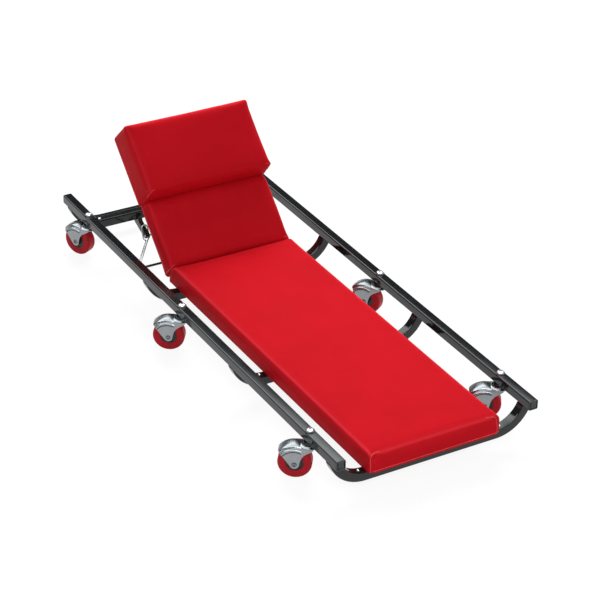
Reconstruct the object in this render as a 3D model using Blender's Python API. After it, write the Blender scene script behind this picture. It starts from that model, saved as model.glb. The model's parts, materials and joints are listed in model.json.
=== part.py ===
import math

import bmesh
import bpy
from mathutils import Matrix, Vector

# Main sizes of the frame, in metres
FRAME_LENGTH = 1.118
FRAME_WIDTH = 0.420
TUBE = 0.019
TUBE_WALL = 0.0015
TUBE_CORNER = 0.0019
GAP = 0.0003

# Casters
WHEEL_RADIUS = 0.031
WHEEL_WIDTH = 0.0236
HUB_RADIUS = 0.0155
TRAIL = 0.025
CROWN_HEIGHT = 0.013
BOLT_RADIUS = 0.004
CASTER_INSET = 0.1063
CASTER_MIDDLE = 0.035

# Bows that carry the deck
BOW_INSET = 0.028
BOW_DROP = 0.0725
BOW_BEND = 0.0664

# Deck
BOARD_THICKNESS = 0.009
PAD_FOAM = 0.0302
PAD_CROWN = 0.004
PAD_EDGE = 0.009
PAD_CORNER = 0.005
PAD_DRAW = 0.0025
PAD_CLEARANCE = 0.0033
PAD_OVERHANG = 0.021

# Headrest
HEAD_ANGLE = math.radians(43.0)
HEAD_LOW_ANGLE = math.radians(20.0)
HEAD_LENGTH = 0.300
HEAD_FOAM = 0.0265
PILLOW_FOAM = 0.0625
PILLOW_START = 0.148
HINGE_BEHIND_BOW = 0.045
HINGE_ROOM = 0.0055
CROSSBAR_BEHIND_HINGE = 0.208
ROD_BEHIND_HINGE = 0.0496
ROD_ABOVE_HINGE = 0.0127
ROD_BEND = 0.012
ROD_RADIUS = 0.0025

# Headrest prop
PROP_WIRE = 0.0025
PROP_HALF = 0.084
STRAP_HALF = 0.102
STRAP_REACH = 0.045
STRAP_DROP = 0.040
STRAP_WIDTH = 0.0095
STRAP_END = 0.0055
STRAP_LIP = 0.006
SLIDE_HALF = 0.060
SLIDE_START = 0.106
SLIDE_DEPTH = 0.0125

# Levels and places that follow from the sizes above
RAIL_TOP = 2 * WHEEL_RADIUS + CROWN_HEIGHT + TUBE
RAIL_BOTTOM = RAIL_TOP - TUBE
RAIL_X = FRAME_WIDTH / 2 - TUBE / 2
INSIDE_CORNER = max(TUBE_CORNER - TUBE_WALL, GAP)
RAIL_INSIDE = FRAME_WIDTH / 2 - TUBE
BOW_BOTTOM = RAIL_TOP - BOW_DROP
BOW_TOP = BOW_BOTTOM + TUBE
CASTER_END = FRAME_LENGTH / 2 - CASTER_INSET
BOW_END_Y = FRAME_LENGTH / 2 - BOW_INSET
BOW_SPACING = 2 * BOW_END_Y / 3
BOARD_LOW = BOW_TOP + GAP
BOARD_TOP = BOARD_LOW + BOARD_THICKNESS
SWIVEL_REACH = TRAIL + WHEEL_RADIUS + 0.0032
PAD_HALF = RAIL_X - SWIVEL_REACH - PAD_CLEARANCE
PAD_FOOT = -BOW_END_Y - PAD_OVERHANG
LEAF = 0.0015
HINGE_Y = BOW_SPACING / 2 + HINGE_BEHIND_BOW
HINGE_Z = BOARD_LOW - GAP - LEAF
HEAD_HALF = PAD_HALF
HINGE_HALF = 0.6 * PAD_HALF
HEAD_START = 0.0125
VALLEY = HEAD_START + PILLOW_START
CROSSBAR_Y = HINGE_Y + CROSSBAR_BEHIND_HINGE
BOARD_EDGE = 0.007
BOARD_CORNER = 0.012
HEAD_BACK = LEAF + GAP
HEAD_FACE = HEAD_BACK + BOARD_THICKNESS

# Turns a flat outline (a, b) with thickness c into the plane it belongs to
STANDING_YZ = Matrix(((0, 0, 1, 0), (1, 0, 0, 0), (0, 1, 0, 0), (0, 0, 0, 1)))
STANDING_XZ = Matrix(((1, 0, 0, 0), (0, 0, 1, 0), (0, 1, 0, 0), (0, 0, 0, 1)))
AXLE_ALONG_Y = Matrix.Rotation(math.pi / 2, 4, "X")
AXLE_ALONG_X = Matrix.Rotation(math.pi / 2, 4, "Y")

# Empty scene with one collection for the parts
for old in list(bpy.data.objects):
    bpy.data.objects.remove(old, do_unlink=True)
parts = bpy.data.collections.new("mechanic_creeper")
bpy.context.scene.collection.children.link(parts)


def finish(bm, smooth_up_to=40.0):
    bmesh.ops.remove_doubles(bm, verts=bm.verts, dist=0.000005)
    bmesh.ops.recalc_face_normals(bm, faces=bm.faces)
    mesh = bpy.data.meshes.new("shape")
    bm.to_mesh(mesh)
    bm.free()
    mesh.shade_smooth()
    mesh.set_sharp_from_angle(angle=math.radians(smooth_up_to))
    return mesh


def paint(name, colour, roughness, metallic):
    material = bpy.data.materials.new(name)
    material.use_nodes = True
    shader = material.node_tree.nodes["Principled BSDF"]
    shader.inputs["Base Color"].default_value = (*colour, 1.0)
    shader.inputs["Roughness"].default_value = roughness
    shader.inputs["Metallic"].default_value = metallic
    return material


def place(name, mesh, material, matrix=Matrix(), parent=None):
    mesh.name = name
    mesh.materials.clear()
    own = material.copy()
    own.name = name
    mesh.materials.append(own)
    part = bpy.data.objects.new(name, mesh)
    parts.objects.link(part)
    if parent:
        part.parent = parent
    part.matrix_local = matrix
    return part


def pivot(name, matrix):
    empty = bpy.data.objects.new(name, None)
    parts.objects.link(empty)
    empty.matrix_local = matrix
    return empty


def moved(mesh, matrix):
    mesh.transform(matrix)
    bm = bmesh.new()
    bm.from_mesh(mesh)
    return finish(bm)


def combine(base, tool, operation):
    base_object = bpy.data.objects.new("base", base)
    tool_object = bpy.data.objects.new("tool", tool)
    parts.objects.link(base_object)
    parts.objects.link(tool_object)
    cut = base_object.modifiers.new("cut", "BOOLEAN")
    cut.solver = "EXACT"
    cut.operation = operation
    cut.object = tool_object
    graph = bpy.context.evaluated_depsgraph_get()
    result = bpy.data.meshes.new_from_object(base_object.evaluated_get(graph))
    bpy.data.objects.remove(base_object)
    bpy.data.objects.remove(tool_object)
    bm = bmesh.new()
    bm.from_mesh(result)
    return finish(bm)


def revolve(profile, segments, closed=False):
    bm = bmesh.new()
    verts = [bm.verts.new((radius, 0, height)) for radius, height in profile]
    edges = [bm.edges.new(pair) for pair in zip(verts, verts[1:])]
    if closed:
        edges.append(bm.edges.new((verts[-1], verts[0])))
    bmesh.ops.spin(bm, geom=verts + edges, cent=(0, 0, 0), axis=(0, 0, 1),
                   angle=2 * math.pi, steps=segments)
    return finish(bm)


def prism(outline, low, high, plane=Matrix()):
    bm = bmesh.new()
    base = bm.faces.new([bm.verts.new((a, b, low)) for a, b in outline])
    grown = bmesh.ops.extrude_face_region(bm, geom=[base])
    top = [item for item in grown["geom"] if isinstance(item, bmesh.types.BMVert)]
    bmesh.ops.translate(bm, verts=top, vec=(0, 0, high - low))
    bmesh.ops.transform(bm, matrix=plane, verts=bm.verts)
    return finish(bm)


def cylinder(radius, length, segments, matrix):
    bm = bmesh.new()
    bmesh.ops.create_cone(bm, cap_ends=True, segments=segments, radius1=radius, radius2=radius,
                          depth=length, matrix=matrix)
    return finish(bm)


def arc(centre, radius, start, end, steps):
    points = []
    for step in range(steps + 1):
        angle = math.radians(start + (end - start) * step / steps)
        points.append((centre[0] + radius * math.cos(angle), centre[1] + radius * math.sin(angle)))
    return points


def rounded_square(half, corner):
    inner = half - corner
    points = []
    for quarter, (sx, sy) in enumerate(((1, 1), (-1, 1), (-1, -1), (1, -1))):
        points += arc((sx * inner, sy * inner), corner, 90 * quarter, 90 * quarter + 90, 1)
    return points


def rounded_rectangle(half_x, low_y, high_y, corner):
    points = arc((half_x - corner, high_y - corner), corner, 0, 90, 3)
    points += arc((corner - half_x, high_y - corner), corner, 90, 180, 3)
    points += arc((corner - half_x, low_y + corner), corner, 180, 270, 3)
    points += arc((half_x - corner, low_y + corner), corner, 270, 360, 3)
    return points


def skin(bm, rings):
    for ring, following in zip(rings, rings[1:]):
        for index in range(len(ring)):
            after = (index + 1) % len(ring)
            bm.faces.new((ring[index], ring[after], following[after], following[index]))


def hollow_tube(outer, inner):
    bm = bmesh.new()
    outside = [[bm.verts.new(point) for point in ring] for ring in outer]
    inside = [[bm.verts.new(point) for point in ring] for ring in inner]
    skin(bm, outside)
    skin(bm, inside)
    skin(bm, [outside[0], inside[0]])
    skin(bm, [outside[-1], inside[-1]])
    return finish(bm)


def straight_tube(length, plane):
    outer = rounded_square(TUBE / 2, TUBE_CORNER)
    inner = rounded_square(TUBE / 2 - TUBE_WALL, INSIDE_CORNER)
    ends = (-length / 2, length / 2)
    return moved(hollow_tube([[(a, b, end) for a, b in outer] for end in ends],
                             [[(a, b, end) for a, b in inner] for end in ends]), plane)


def bend_path(corners, radius, steps):
    path = [corners[0]]
    for before, corner, after in zip(corners, corners[1:], corners[2:]):
        arrive = (before - corner).normalized()
        leave = (after - corner).normalized()
        half = arrive.angle(leave) / 2
        centre = corner + (arrive + leave).normalized() * radius / math.sin(half)
        spoke = corner + arrive * radius / math.tan(half) - centre
        turn = Matrix.Rotation((math.pi - 2 * half) / steps, 3, leave.cross(arrive))
        for step in range(steps + 1):
            path.append(centre + spoke)
            spoke = turn @ spoke
    path.append(corners[-1])
    return path


def wire(path, radius):
    curve = bpy.data.curves.new("wire", "CURVE")
    curve.dimensions = "3D"
    curve.bevel_depth = radius
    curve.bevel_resolution = 2
    curve.use_fill_caps = True
    spline = curve.splines.new("POLY")
    spline.points.add(len(path) - 1)
    for point, place_at in zip(spline.points, path):
        point.co = (*place_at, 1.0)
    holder = bpy.data.objects.new("wire", curve)
    parts.objects.link(holder)
    graph = bpy.context.evaluated_depsgraph_get()
    mesh = bpy.data.meshes.new_from_object(holder.evaluated_get(graph))
    bpy.data.objects.remove(holder)
    bm = bmesh.new()
    bm.from_mesh(mesh)
    return finish(bm, 50.0)


def rounded_corner(x, y, half_x, half_y, radius):
    across = abs(x) - (half_x - radius)
    along = abs(y) - (half_y - radius)
    if across <= 0 or along <= 0:
        return x, y
    shrink = max(across, along) / math.hypot(across, along)
    return (math.copysign(half_x - radius + across * shrink, x),
            math.copysign(half_y - radius + along * shrink, y))


def edge_fall(distance, radius):
    if distance >= radius:
        return 0.0
    return radius - math.sqrt(radius * radius - (radius - distance) ** 2)


def cushion(half_x, low_y, stations, rim, ceiling, height, lean=0.0):
    length = stations[-1]
    centre = low_y + length / 2
    edge = PAD_EDGE
    columns = [0.0, 0.0014, 0.0045, edge, 0.035, 0.08]
    columns = [-half_x + d for d in columns] + [0.0] + [half_x - d for d in reversed(columns)]

    def top_point(x, station):
        body = height(station) + PAD_CROWN * (1 - (x / half_x) ** 2)
        body -= PAD_CROWN * (abs(2 * station / length - 1)) ** 4 * (1 - (x / half_x) ** 2)
        radius = min(edge, 0.6 * (height(station) - rim))
        fall = math.hypot(edge_fall(half_x - abs(x), edge),
                          edge_fall(min(station, length - station), edge))
        flat_x, flat_y = rounded_corner(x, station - length / 2, half_x, length / 2, PAD_CORNER)
        flat_x *= 1 - PAD_DRAW / half_x
        flat_y *= 1 - 2 * PAD_DRAW / length
        return flat_x, flat_y, body - min(fall, edge) * radius / edge

    def leaning(y, z):
        return y - lean * max(0.0, y / length - 0.4) / 0.1 * (z - rim)

    bm = bmesh.new()
    grid = []
    for station in stations:
        row = []
        for x in columns:
            flat_x, flat_y, z = top_point(x, station)
            row.append(bm.verts.new((flat_x, centre + leaning(flat_y, z), z)))
        grid.append(row)
    for row, following in zip(grid, grid[1:]):
        for index in range(len(row) - 1):
            bm.faces.new((row[index], row[index + 1], following[index + 1], following[index]))
    lip = grid[0] + [row[-1] for row in grid[1:]] + grid[-1][-2::-1] + [row[0] for row in grid[-2:0:-1]]
    spots = [(x, stations[0]) for x in columns] + [(columns[-1], s) for s in stations[1:]]
    spots += [(x, stations[-1]) for x in columns[-2::-1]] + [(columns[0], s) for s in stations[-2:0:-1]]
    rings = [lip]
    for share, inset in ((0.7, -0.4 * PAD_DRAW), (0.35, -0.8 * PAD_DRAW), (0.0, -PAD_DRAW)):
        ring = []
        for x, station in spots:
            flat_x, flat_y, z = top_point(x, station)
            level = rim + share * (z - rim)
            flat_x *= 1 - inset / half_x
            flat_y *= 1 - 2 * inset / length
            ring.append(bm.verts.new((flat_x, centre + leaning(flat_y, level), level)))
        rings.append(ring)
    pocket_x = 1 - (BOARD_EDGE - PAD_DRAW) / half_x
    pocket_y = 1 - 2 * (BOARD_EDGE - PAD_DRAW) / length
    for level in (rim, ceiling):
        ring = []
        for x, station in spots:
            flat_x, flat_y, z = top_point(x, station)
            ring.append(bm.verts.new((flat_x * pocket_x, centre + flat_y * pocket_y, level)))
        rings.append(ring)
    skin(bm, rings)
    bm.faces.new(rings[-1])
    bmesh.ops.triangulate(bm, faces=[face for face in bm.faces if len(face.verts) > 4])
    return finish(bm)


# Paints
frame_black = paint("frame_black", (0.012, 0.013, 0.014), 0.25, 0.0)
cap_grey = paint("cap_grey", (0.03, 0.032, 0.035), 0.55, 0.0)
zinc = paint("zinc", (0.72, 0.73, 0.75), 0.25, 1.0)
chrome = paint("chrome", (0.80, 0.81, 0.83), 0.12, 1.0)
plywood = paint("plywood", (0.45, 0.30, 0.16), 0.7, 0.0)
red_vinyl = paint("red_vinyl", (0.60, 0.012, 0.020), 0.42, 0.0)
hub_black = paint("hub_black", (0.02, 0.02, 0.022), 0.5, 0.0)
tyre_red = paint("tyre_red", (0.36, 0.012, 0.022), 0.45, 0.0)

# Casters: name, side, place along the rail, direction in which the wheel trails
CASTERS = (
    ("foot_left", -1, -CASTER_END, 143.6),
    ("middle_left", -1, CASTER_MIDDLE, 143.4),
    ("head_left", -1, CASTER_END, 116.9),
    ("foot_right", 1, -CASTER_END, 146.0),
    ("middle_right", 1, -CASTER_MIDDLE, 122.0),
    ("head_right", 1, CASTER_END, 138.0),
)

# Side rails, bored for the caster bolts
CAP_FLANGE = 0.0022
for side_name, side in (("left", -1), ("right", 1)):
    rail = straight_tube(FRAME_LENGTH - 2 * (CAP_FLANGE + GAP), STANDING_XZ)
    for name, caster_side, y, trail_angle in CASTERS:
        if caster_side == side:
            drill = cylinder(BOLT_RADIUS + 0.0004, 3 * TUBE, 12, Matrix.Translation((0, y, 0)))
            rail = combine(rail, drill, "DIFFERENCE")
    place("rail_" + side_name, rail, frame_black,
          Matrix.Translation((side * RAIL_X, 0, RAIL_TOP - TUBE / 2)))

# End caps with a hollow plug
plug = TUBE / 2 - TUBE_WALL - GAP
cap_steps = ((0.0, TUBE / 2 - 0.001), (0.0008, TUBE / 2), (CAP_FLANGE, TUBE / 2), (CAP_FLANGE, plug),
             (0.013, plug - 0.0002), (0.013, plug - 0.0014), (0.004, plug - 0.0014))
for end_name, end in (("foot", -1), ("head", 1)):
    for side_name, side in (("left", -1), ("right", 1)):
        bm = bmesh.new()
        rings = []
        for depth, half in cap_steps:
            corner = TUBE_CORNER * half / (TUBE / 2)
            rings.append([bm.verts.new((a, -depth, b)) for a, b in rounded_square(half, corner)])
        skin(bm, rings)
        bm.faces.new(rings[0])
        bm.faces.new(rings[-1])
        spin = Matrix.Rotation(0 if end > 0 else math.pi, 4, "Z")
        at = Matrix.Translation((side * RAIL_X, end * FRAME_LENGTH / 2, RAIL_TOP - TUBE / 2))
        place("cap_%s_%s" % (end_name, side_name), finish(bm), cap_grey, at @ spin)

# Bows: a flat run with two bends, each end cut level under its rail
bend_high = BOW_BOTTOM + BOW_BEND + TUBE / 2
rise = bend_high - RAIL_BOTTOM + GAP
bend_x = FRAME_WIDTH / 2 - math.sqrt((BOW_BEND + TUBE / 2) ** 2 - rise ** 2)


def bow_rings(half, corner):
    rings = []
    steps = 5
    for side in (-1, 1):
        shares = [step / steps for step in range(steps + 1)]
        for share in reversed(shares) if side < 0 else shares:
            ring = []
            for a, b in rounded_square(half, corner):
                radius = BOW_BEND + a
                angle = share * math.acos(rise / radius)
                ring.append((side * (bend_x + radius * math.sin(angle)), b,
                             bend_high - radius * math.cos(angle)))
            rings.append(ring)
    return rings


BOWS = [(name, index * BOW_SPACING - BOW_END_Y)
        for index, name in enumerate(("foot", "mid_foot", "mid_head", "head"))]
for name, bow_y in BOWS:
    bow = hollow_tube(bow_rings(TUBE / 2, TUBE_CORNER),
                      bow_rings(TUBE / 2 - TUBE_WALL, INSIDE_CORNER))
    place("bow_" + name, bow, frame_black, Matrix.Translation((0, bow_y, 0)))

# Crossbar that the lowered headrest lies on
crossbar = straight_tube(2 * (RAIL_INSIDE - GAP), STANDING_YZ)
place("crossbar", crossbar, frame_black, Matrix.Translation((0, CROSSBAR_Y, RAIL_TOP - TUBE / 2)))

# Thin rod that ties the deck to the left rail: one end turned up against the rail's inner side, the
# other hooked under the deck's board beside the hinge
rod_y = HINGE_Y + ROD_BEHIND_HINGE
rod_z = HINGE_Z + ROD_ABOVE_HINGE
rod_low = BOARD_LOW - GAP - ROD_RADIUS
rod_turn = (HINGE_HALF + PAD_HALF) / 2
rod_end = GAP + ROD_RADIUS - RAIL_INSIDE
rod_corners = [Vector((rod_end, rod_y, RAIL_TOP - TUBE / 2)), Vector((rod_end, rod_y, rod_z)),
               Vector((rod_turn, rod_y, rod_z)), Vector((rod_turn, HINGE_Y + HEAD_START, rod_low)),
               Vector((rod_turn, BOW_SPACING / 2 + TUBE, rod_low))]
place("tie_rod", wire(bend_path(rod_corners, ROD_BEND, 5), ROD_RADIUS), frame_black)

# Straps that slope down from the crossbar and carry the prop
pin_y = CROSSBAR_Y - STRAP_REACH
pin_z = RAIL_TOP - STRAP_DROP
front = CROSSBAR_Y - TUBE / 2 - GAP
under = RAIL_BOTTOM - GAP
strap_outline = [(front, under), (front, under + 0.012), (front - 0.003, under + 0.0135),
                 (front - 0.005, under + 0.011), (front - STRAP_LIP, under)]
strap_outline += arc((pin_y, pin_z), STRAP_END, 100, 290, 7)
strap_outline += [(CROSSBAR_Y, under - 0.010), (CROSSBAR_Y + TUBE / 2, under - 0.004),
                  (CROSSBAR_Y + TUBE / 2, under)]
for side_name, side in (("left", -1), ("right", 1)):
    strap = prism(strap_outline, -STRAP_WIDTH / 2, STRAP_WIDTH / 2, STANDING_YZ)
    eye = cylinder(PROP_WIRE + 0.0004, 2 * STRAP_WIDTH, 14,
                   Matrix.Translation((0, pin_y, pin_z)) @ AXLE_ALONG_X)
    strap = combine(strap, eye, "DIFFERENCE")
    place("prop_strap_" + side_name, strap, frame_black, Matrix.Translation((side * STRAP_HALF, 0, 0)))

# Wire stay, bent like a hairpin: a long leaning eye round the left strap, drawn in to a neck, and two
# legs side by side to the rail
STAY_WIRE = 0.0015
STAY_FOOT_Y = HINGE_Y + 0.014
STAY_FOOT_Z = RAIL_TOP - 0.0075
STAY_FOOT_SPREAD = 4.2 * STAY_WIRE
EYE_BEHIND_PIN = 0.0125
EYE_LEAN = 0.011
EYE_SHOULDER = 0.005
EYE_HALF = STRAP_WIDTH / 2 + STAY_WIRE + 2 * GAP
EYE_NECK = 1.4 * STAY_WIRE
strap_slope = (under - pin_z - STRAP_END) / (front - STRAP_LIP - pin_y)
eye_top = pin_z + STRAP_END + EYE_BEHIND_PIN * strap_slope + EYE_HALF
eye_shoulder = pin_z - STRAP_END - STAY_WIRE - 2 * GAP
eye_low = eye_shoulder - EYE_SHOULDER


def on_eye(x, z):
    lean = EYE_LEAN * (eye_top - z) / (eye_top - eye_low)
    return Vector((x - STRAP_HALF, pin_y + EYE_BEHIND_PIN - lean, z))


foot_x = STAY_WIRE + GAP - RAIL_INSIDE
loop = [Vector((foot_x, STAY_FOOT_Y, STAY_FOOT_Z)), on_eye(EYE_NECK, eye_low),
        on_eye(EYE_HALF, eye_shoulder)]
loop += [on_eye(a, b) for a, b in arc((0, eye_top - EYE_HALF), EYE_HALF, 0, 180, 8)]
loop += [on_eye(-EYE_HALF, eye_shoulder), on_eye(-EYE_NECK, eye_low),
         Vector((foot_x, STAY_FOOT_Y + STAY_FOOT_SPREAD, STAY_FOOT_Z))]
place("stay_wire", wire(loop, STAY_WIRE), zinc)

# Main deck: board and pad
main_end = HINGE_Y - HINGE_ROOM
main_low = PAD_FOOT
main_length = main_end - main_low
board = prism(rounded_rectangle(PAD_HALF - BOARD_EDGE - GAP, main_low + BOARD_EDGE + GAP,
                                main_end - BOARD_EDGE - GAP, BOARD_CORNER), BOARD_LOW, BOARD_TOP)
place("main_board", board, plywood)
end_steps = [0.0, 0.0014, 0.0045, 0.009, 0.035, 0.10]
main_stations = end_steps + [main_length * share for share in (0.3, 0.5, 0.7)]
main_stations += [main_length - step for step in reversed(end_steps)]
pad = cushion(PAD_HALF, main_low, main_stations, BOARD_LOW, BOARD_TOP + GAP,
              lambda station: BOARD_TOP + PAD_FOAM, lean=0.36)
place("main_pad", pad, red_vinyl)

# Pan head screws on the two bows nearest the foot
screw_x = bend_x + 0.0105
screw_tilt = math.asin((screw_x - bend_x) / (BOW_BEND - TUBE / 2))
screw_z = bend_high - (BOW_BEND - TUBE / 2) * math.cos(screw_tilt)
screw_profile = ((0, 0.0028), (0.0018, 0.0026), (0.0032, 0.0016), (0.0034, 2 * GAP), (0, 2 * GAP))
for bow_name, bow_y in BOWS[:2]:
    for side_name, side in (("left", -1), ("right", 1)):
        at = Matrix.Translation((side * screw_x, bow_y, screw_z))
        tilt = Matrix.Rotation(-side * screw_tilt, 4, "Y")
        place("screw_%s_%s" % (bow_name, side_name), revolve(screw_profile, 12), zinc, at @ tilt)

# Headrest, drawn flat along its board and tipped up at the hinge
head_pivot = pivot("head_pivot", Matrix.Translation((0, HINGE_Y, HINGE_Z))
                   @ Matrix.Rotation(HEAD_ANGLE, 4, "X"))
head_end = HEAD_START + HEAD_LENGTH
head_board = prism(rounded_rectangle(HEAD_HALF - BOARD_EDGE - GAP, HEAD_START + BOARD_EDGE + GAP,
                                     head_end - BOARD_EDGE - GAP, BOARD_CORNER), HEAD_BACK, HEAD_FACE)
place("head_board", head_board, plywood, parent=head_pivot)


def head_height(station):
    floor = HEAD_FACE + 0.0035
    if station < PILLOW_START:
        near = min(1.0, (PILLOW_START - station) / 0.022)
        full = HEAD_FACE + HEAD_FOAM
    else:
        near = min(1.0, (station - PILLOW_START) / 0.008)
        full = HEAD_FACE + PILLOW_FOAM
    return floor + (full - floor) * math.sqrt(1 - (1 - near) ** 2)


head_stations = end_steps[:5] + [0.075, 0.11, PILLOW_START - 0.021, PILLOW_START - 0.012]
head_stations += [PILLOW_START - 0.005, PILLOW_START - 0.0015, PILLOW_START, PILLOW_START + 0.0005]
head_stations += [PILLOW_START + 0.0014, PILLOW_START + 0.003, PILLOW_START + 0.005, PILLOW_START + 0.008]
head_stations += [PILLOW_START + 0.04, PILLOW_START + 0.075]
head_stations += [HEAD_LENGTH - step for step in reversed(end_steps[:5])]
head_pad = cushion(HEAD_HALF, HEAD_START, head_stations, HEAD_BACK, HEAD_FACE + GAP, head_height)
place("head_pad", head_pad, red_vinyl, parent=head_pivot)

# Long hinge under the joint of the two boards
KNUCKLE = 0.0030
HINGE_PIN = 0.0012
LEAF_WIDTH = 0.019
knuckles = 5
knuckle_run = 2 * HINGE_HALF / knuckles
for leaf_name, direction, parity in (("main", -1, 0), ("head", 1, 1)):
    inner_edge = direction * (HINGE_PIN + 2 * GAP)
    flat = [(-HINGE_HALF, inner_edge), (HINGE_HALF, inner_edge),
            (HINGE_HALF, direction * LEAF_WIDTH), (-HINGE_HALF, direction * LEAF_WIDTH)]
    leaf = prism(flat, 0.0, LEAF)
    for index in range(knuckles):
        middle = -HINGE_HALF + (index + 0.5) * knuckle_run
        along = Matrix.Translation((middle, 0, 0)) @ AXLE_ALONG_X
        if index % 2 == parity:
            barrel = cylinder(KNUCKLE, knuckle_run - 2 * GAP, 10, along)
            leaf = combine(leaf, barrel, "UNION")
        else:
            room = cylinder(KNUCKLE + 2 * GAP, knuckle_run, 10, along)
            leaf = combine(leaf, room, "DIFFERENCE")
    if leaf_name == "main":
        bore = cylinder(HINGE_PIN + GAP, 3 * HINGE_HALF, 8, AXLE_ALONG_X)
        leaf = combine(leaf, bore, "DIFFERENCE")
        place("hinge_main", leaf, zinc, Matrix.Translation((0, HINGE_Y, HINGE_Z)))
    else:
        pin = cylinder(HINGE_PIN, 2 * HINGE_HALF - 2 * GAP, 8, AXLE_ALONG_X)
        leaf = combine(leaf, pin, "UNION")
        place("hinge_head", leaf, zinc, parent=head_pivot)

# Prop: where its top bar runs along the headrest as the headrest comes down


def on_frame(along, out, angle):
    return (HINGE_Y + along * math.cos(angle) - out * math.sin(angle),
            HINGE_Z + along * math.sin(angle) + out * math.cos(angle))


def on_head(y, z, angle):
    dy = y - HINGE_Y
    dz = z - HINGE_Z
    return (dy * math.cos(angle) + dz * math.sin(angle), dz * math.cos(angle) - dy * math.sin(angle))


bar_y, bar_z = on_frame(SLIDE_START, -SLIDE_DEPTH, HEAD_ANGLE)
prop_length = math.hypot(bar_y - pin_y, bar_z - pin_z)
prop_up = math.atan2(bar_z - pin_z, bar_y - pin_y)
pin_along, pin_out = on_head(pin_y, pin_z, HEAD_LOW_ANGLE)
low_along = pin_along - math.sqrt(prop_length ** 2 - (pin_out + SLIDE_DEPTH) ** 2)
low_y, low_z = on_frame(low_along, -SLIDE_DEPTH, HEAD_LOW_ANGLE)
prop_down = math.atan2(low_z - pin_z, low_y - pin_y) % (2 * math.pi)
prop_ratio = (prop_down - prop_up) / (HEAD_LOW_ANGLE - HEAD_ANGLE)
print("prop ratio %.4f, range %.2f degrees" % (prop_ratio, math.degrees(prop_down - prop_up)))
print("prop pin", pin_y, pin_z, "hinge", HINGE_Y, HINGE_Z)
run = []
for step in range(13):
    head_now = HEAD_ANGLE + (HEAD_LOW_ANGLE - HEAD_ANGLE) * step / 12
    prop_now = prop_up + prop_ratio * (head_now - HEAD_ANGLE)
    run.append(on_head(pin_y + prop_length * math.cos(prop_now),
                       pin_z + prop_length * math.sin(prop_now), head_now))
print("slide path", [(round(a, 4), round(b, 4)) for a, b in run])

# Wire prop hinged in the straps
prop_corners = []
for x, at_pin in ((-STRAP_HALF - 0.006, True), (-PROP_HALF, True), (-PROP_HALF, False),
                  (PROP_HALF, False), (PROP_HALF, True), (STRAP_HALF + 0.006, True)):
    prop_corners.append(Vector((x, pin_y, pin_z)) if at_pin else Vector((x, bar_y, bar_z)))
prop = wire(bend_path(prop_corners, 0.009, 5), PROP_WIRE)
place("prop_wire", moved(prop, Matrix.Translation((0, -pin_y, -pin_z))), zinc,
      Matrix.Translation((0, pin_y, pin_z)))

# Slotted brackets on the headrest's back that guide the prop's top bar
slot = PROP_WIRE + 0.0006
slot_sides = [[], []]
for index, (a, b) in enumerate(run):
    before = run[max(index - 1, 0)]
    after = run[min(index + 1, len(run) - 1)]
    heading = math.atan2(after[1] - before[1], after[0] - before[0])
    slot_sides[0].append((a - slot * math.sin(heading), b + slot * math.cos(heading)))
    slot_sides[1].append((a + slot * math.sin(heading), b - slot * math.cos(heading)))
first = math.degrees(math.atan2(run[1][1] - run[0][1], run[1][0] - run[0][0]))
last = math.degrees(math.atan2(run[-1][1] - run[-2][1], run[-1][0] - run[-2][0]))
slot_outline = slot_sides[0] + arc(run[-1], slot, last + 60, last - 60, 4)
slot_outline += slot_sides[1][::-1] + arc(run[0], slot, first + 240, first + 120, 4)
SLIDE_PLATE = 0.0025
plate_low = min(a for a, b in run) - 0.009
plate_high = max(a for a, b in run) + 0.009
plate_depth = min(b for a, b in run) - slot - 0.004
plate_outline = [(plate_low, HEAD_BACK - GAP), (plate_high, HEAD_BACK - GAP)]
plate_outline += arc((plate_high - 0.006, plate_depth + 0.006), 0.006, 0, -90, 3)
plate_outline += arc((plate_low + 0.006, plate_depth + 0.006), 0.006, -90, -180, 3)
for side_name, side in (("left", -1), ("right", 1)):
    web = prism(plate_outline, -SLIDE_PLATE / 2, SLIDE_PLATE / 2, STANDING_YZ)
    cutter = prism(slot_outline, -2 * SLIDE_PLATE, 2 * SLIDE_PLATE, STANDING_YZ)
    web = combine(web, cutter, "DIFFERENCE")
    tab_face = HEAD_BACK - GAP
    tabs = ((plate_high - 0.004, plate_high + 0.012), (plate_low - 0.012, plate_low + 0.004))
    for tab_low, tab_high in tabs:
        tab = prism(rounded_rectangle(0.007, tab_low, tab_high, 0.003), tab_face - 0.0018, tab_face)
        web = combine(web, tab, "UNION")
    place("slide_bracket_" + side_name, web, frame_black,
          Matrix.Translation((side * SLIDE_HALF, 0, 0)), head_pivot)

# Caster fork: hood over the wheel, two legs and the raceway round the king bolt
HOOD_INSIDE = WHEEL_RADIUS + 0.0033
HOOD_OUTSIDE = HOOD_INSIDE + 0.0022
LEG_INSIDE = WHEEL_WIDTH / 2 + 0.0027
LEG_OUTSIDE = LEG_INSIDE + 0.0021
HOOD_HALF = LEG_OUTSIDE + 0.0017
RACE_RADIUS = 0.0185
RACE_LOW = 2 * WHEEL_RADIUS + 0.0026
RACE_TOP = RAIL_BOTTOM - 0.0008
NUT_RADIUS = 0.0066
HOOD_BACK = math.radians(51)
HOOD_FRONT = math.asin((TRAIL - NUT_RADIUS - 0.004) / HOOD_INSIDE)

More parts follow.
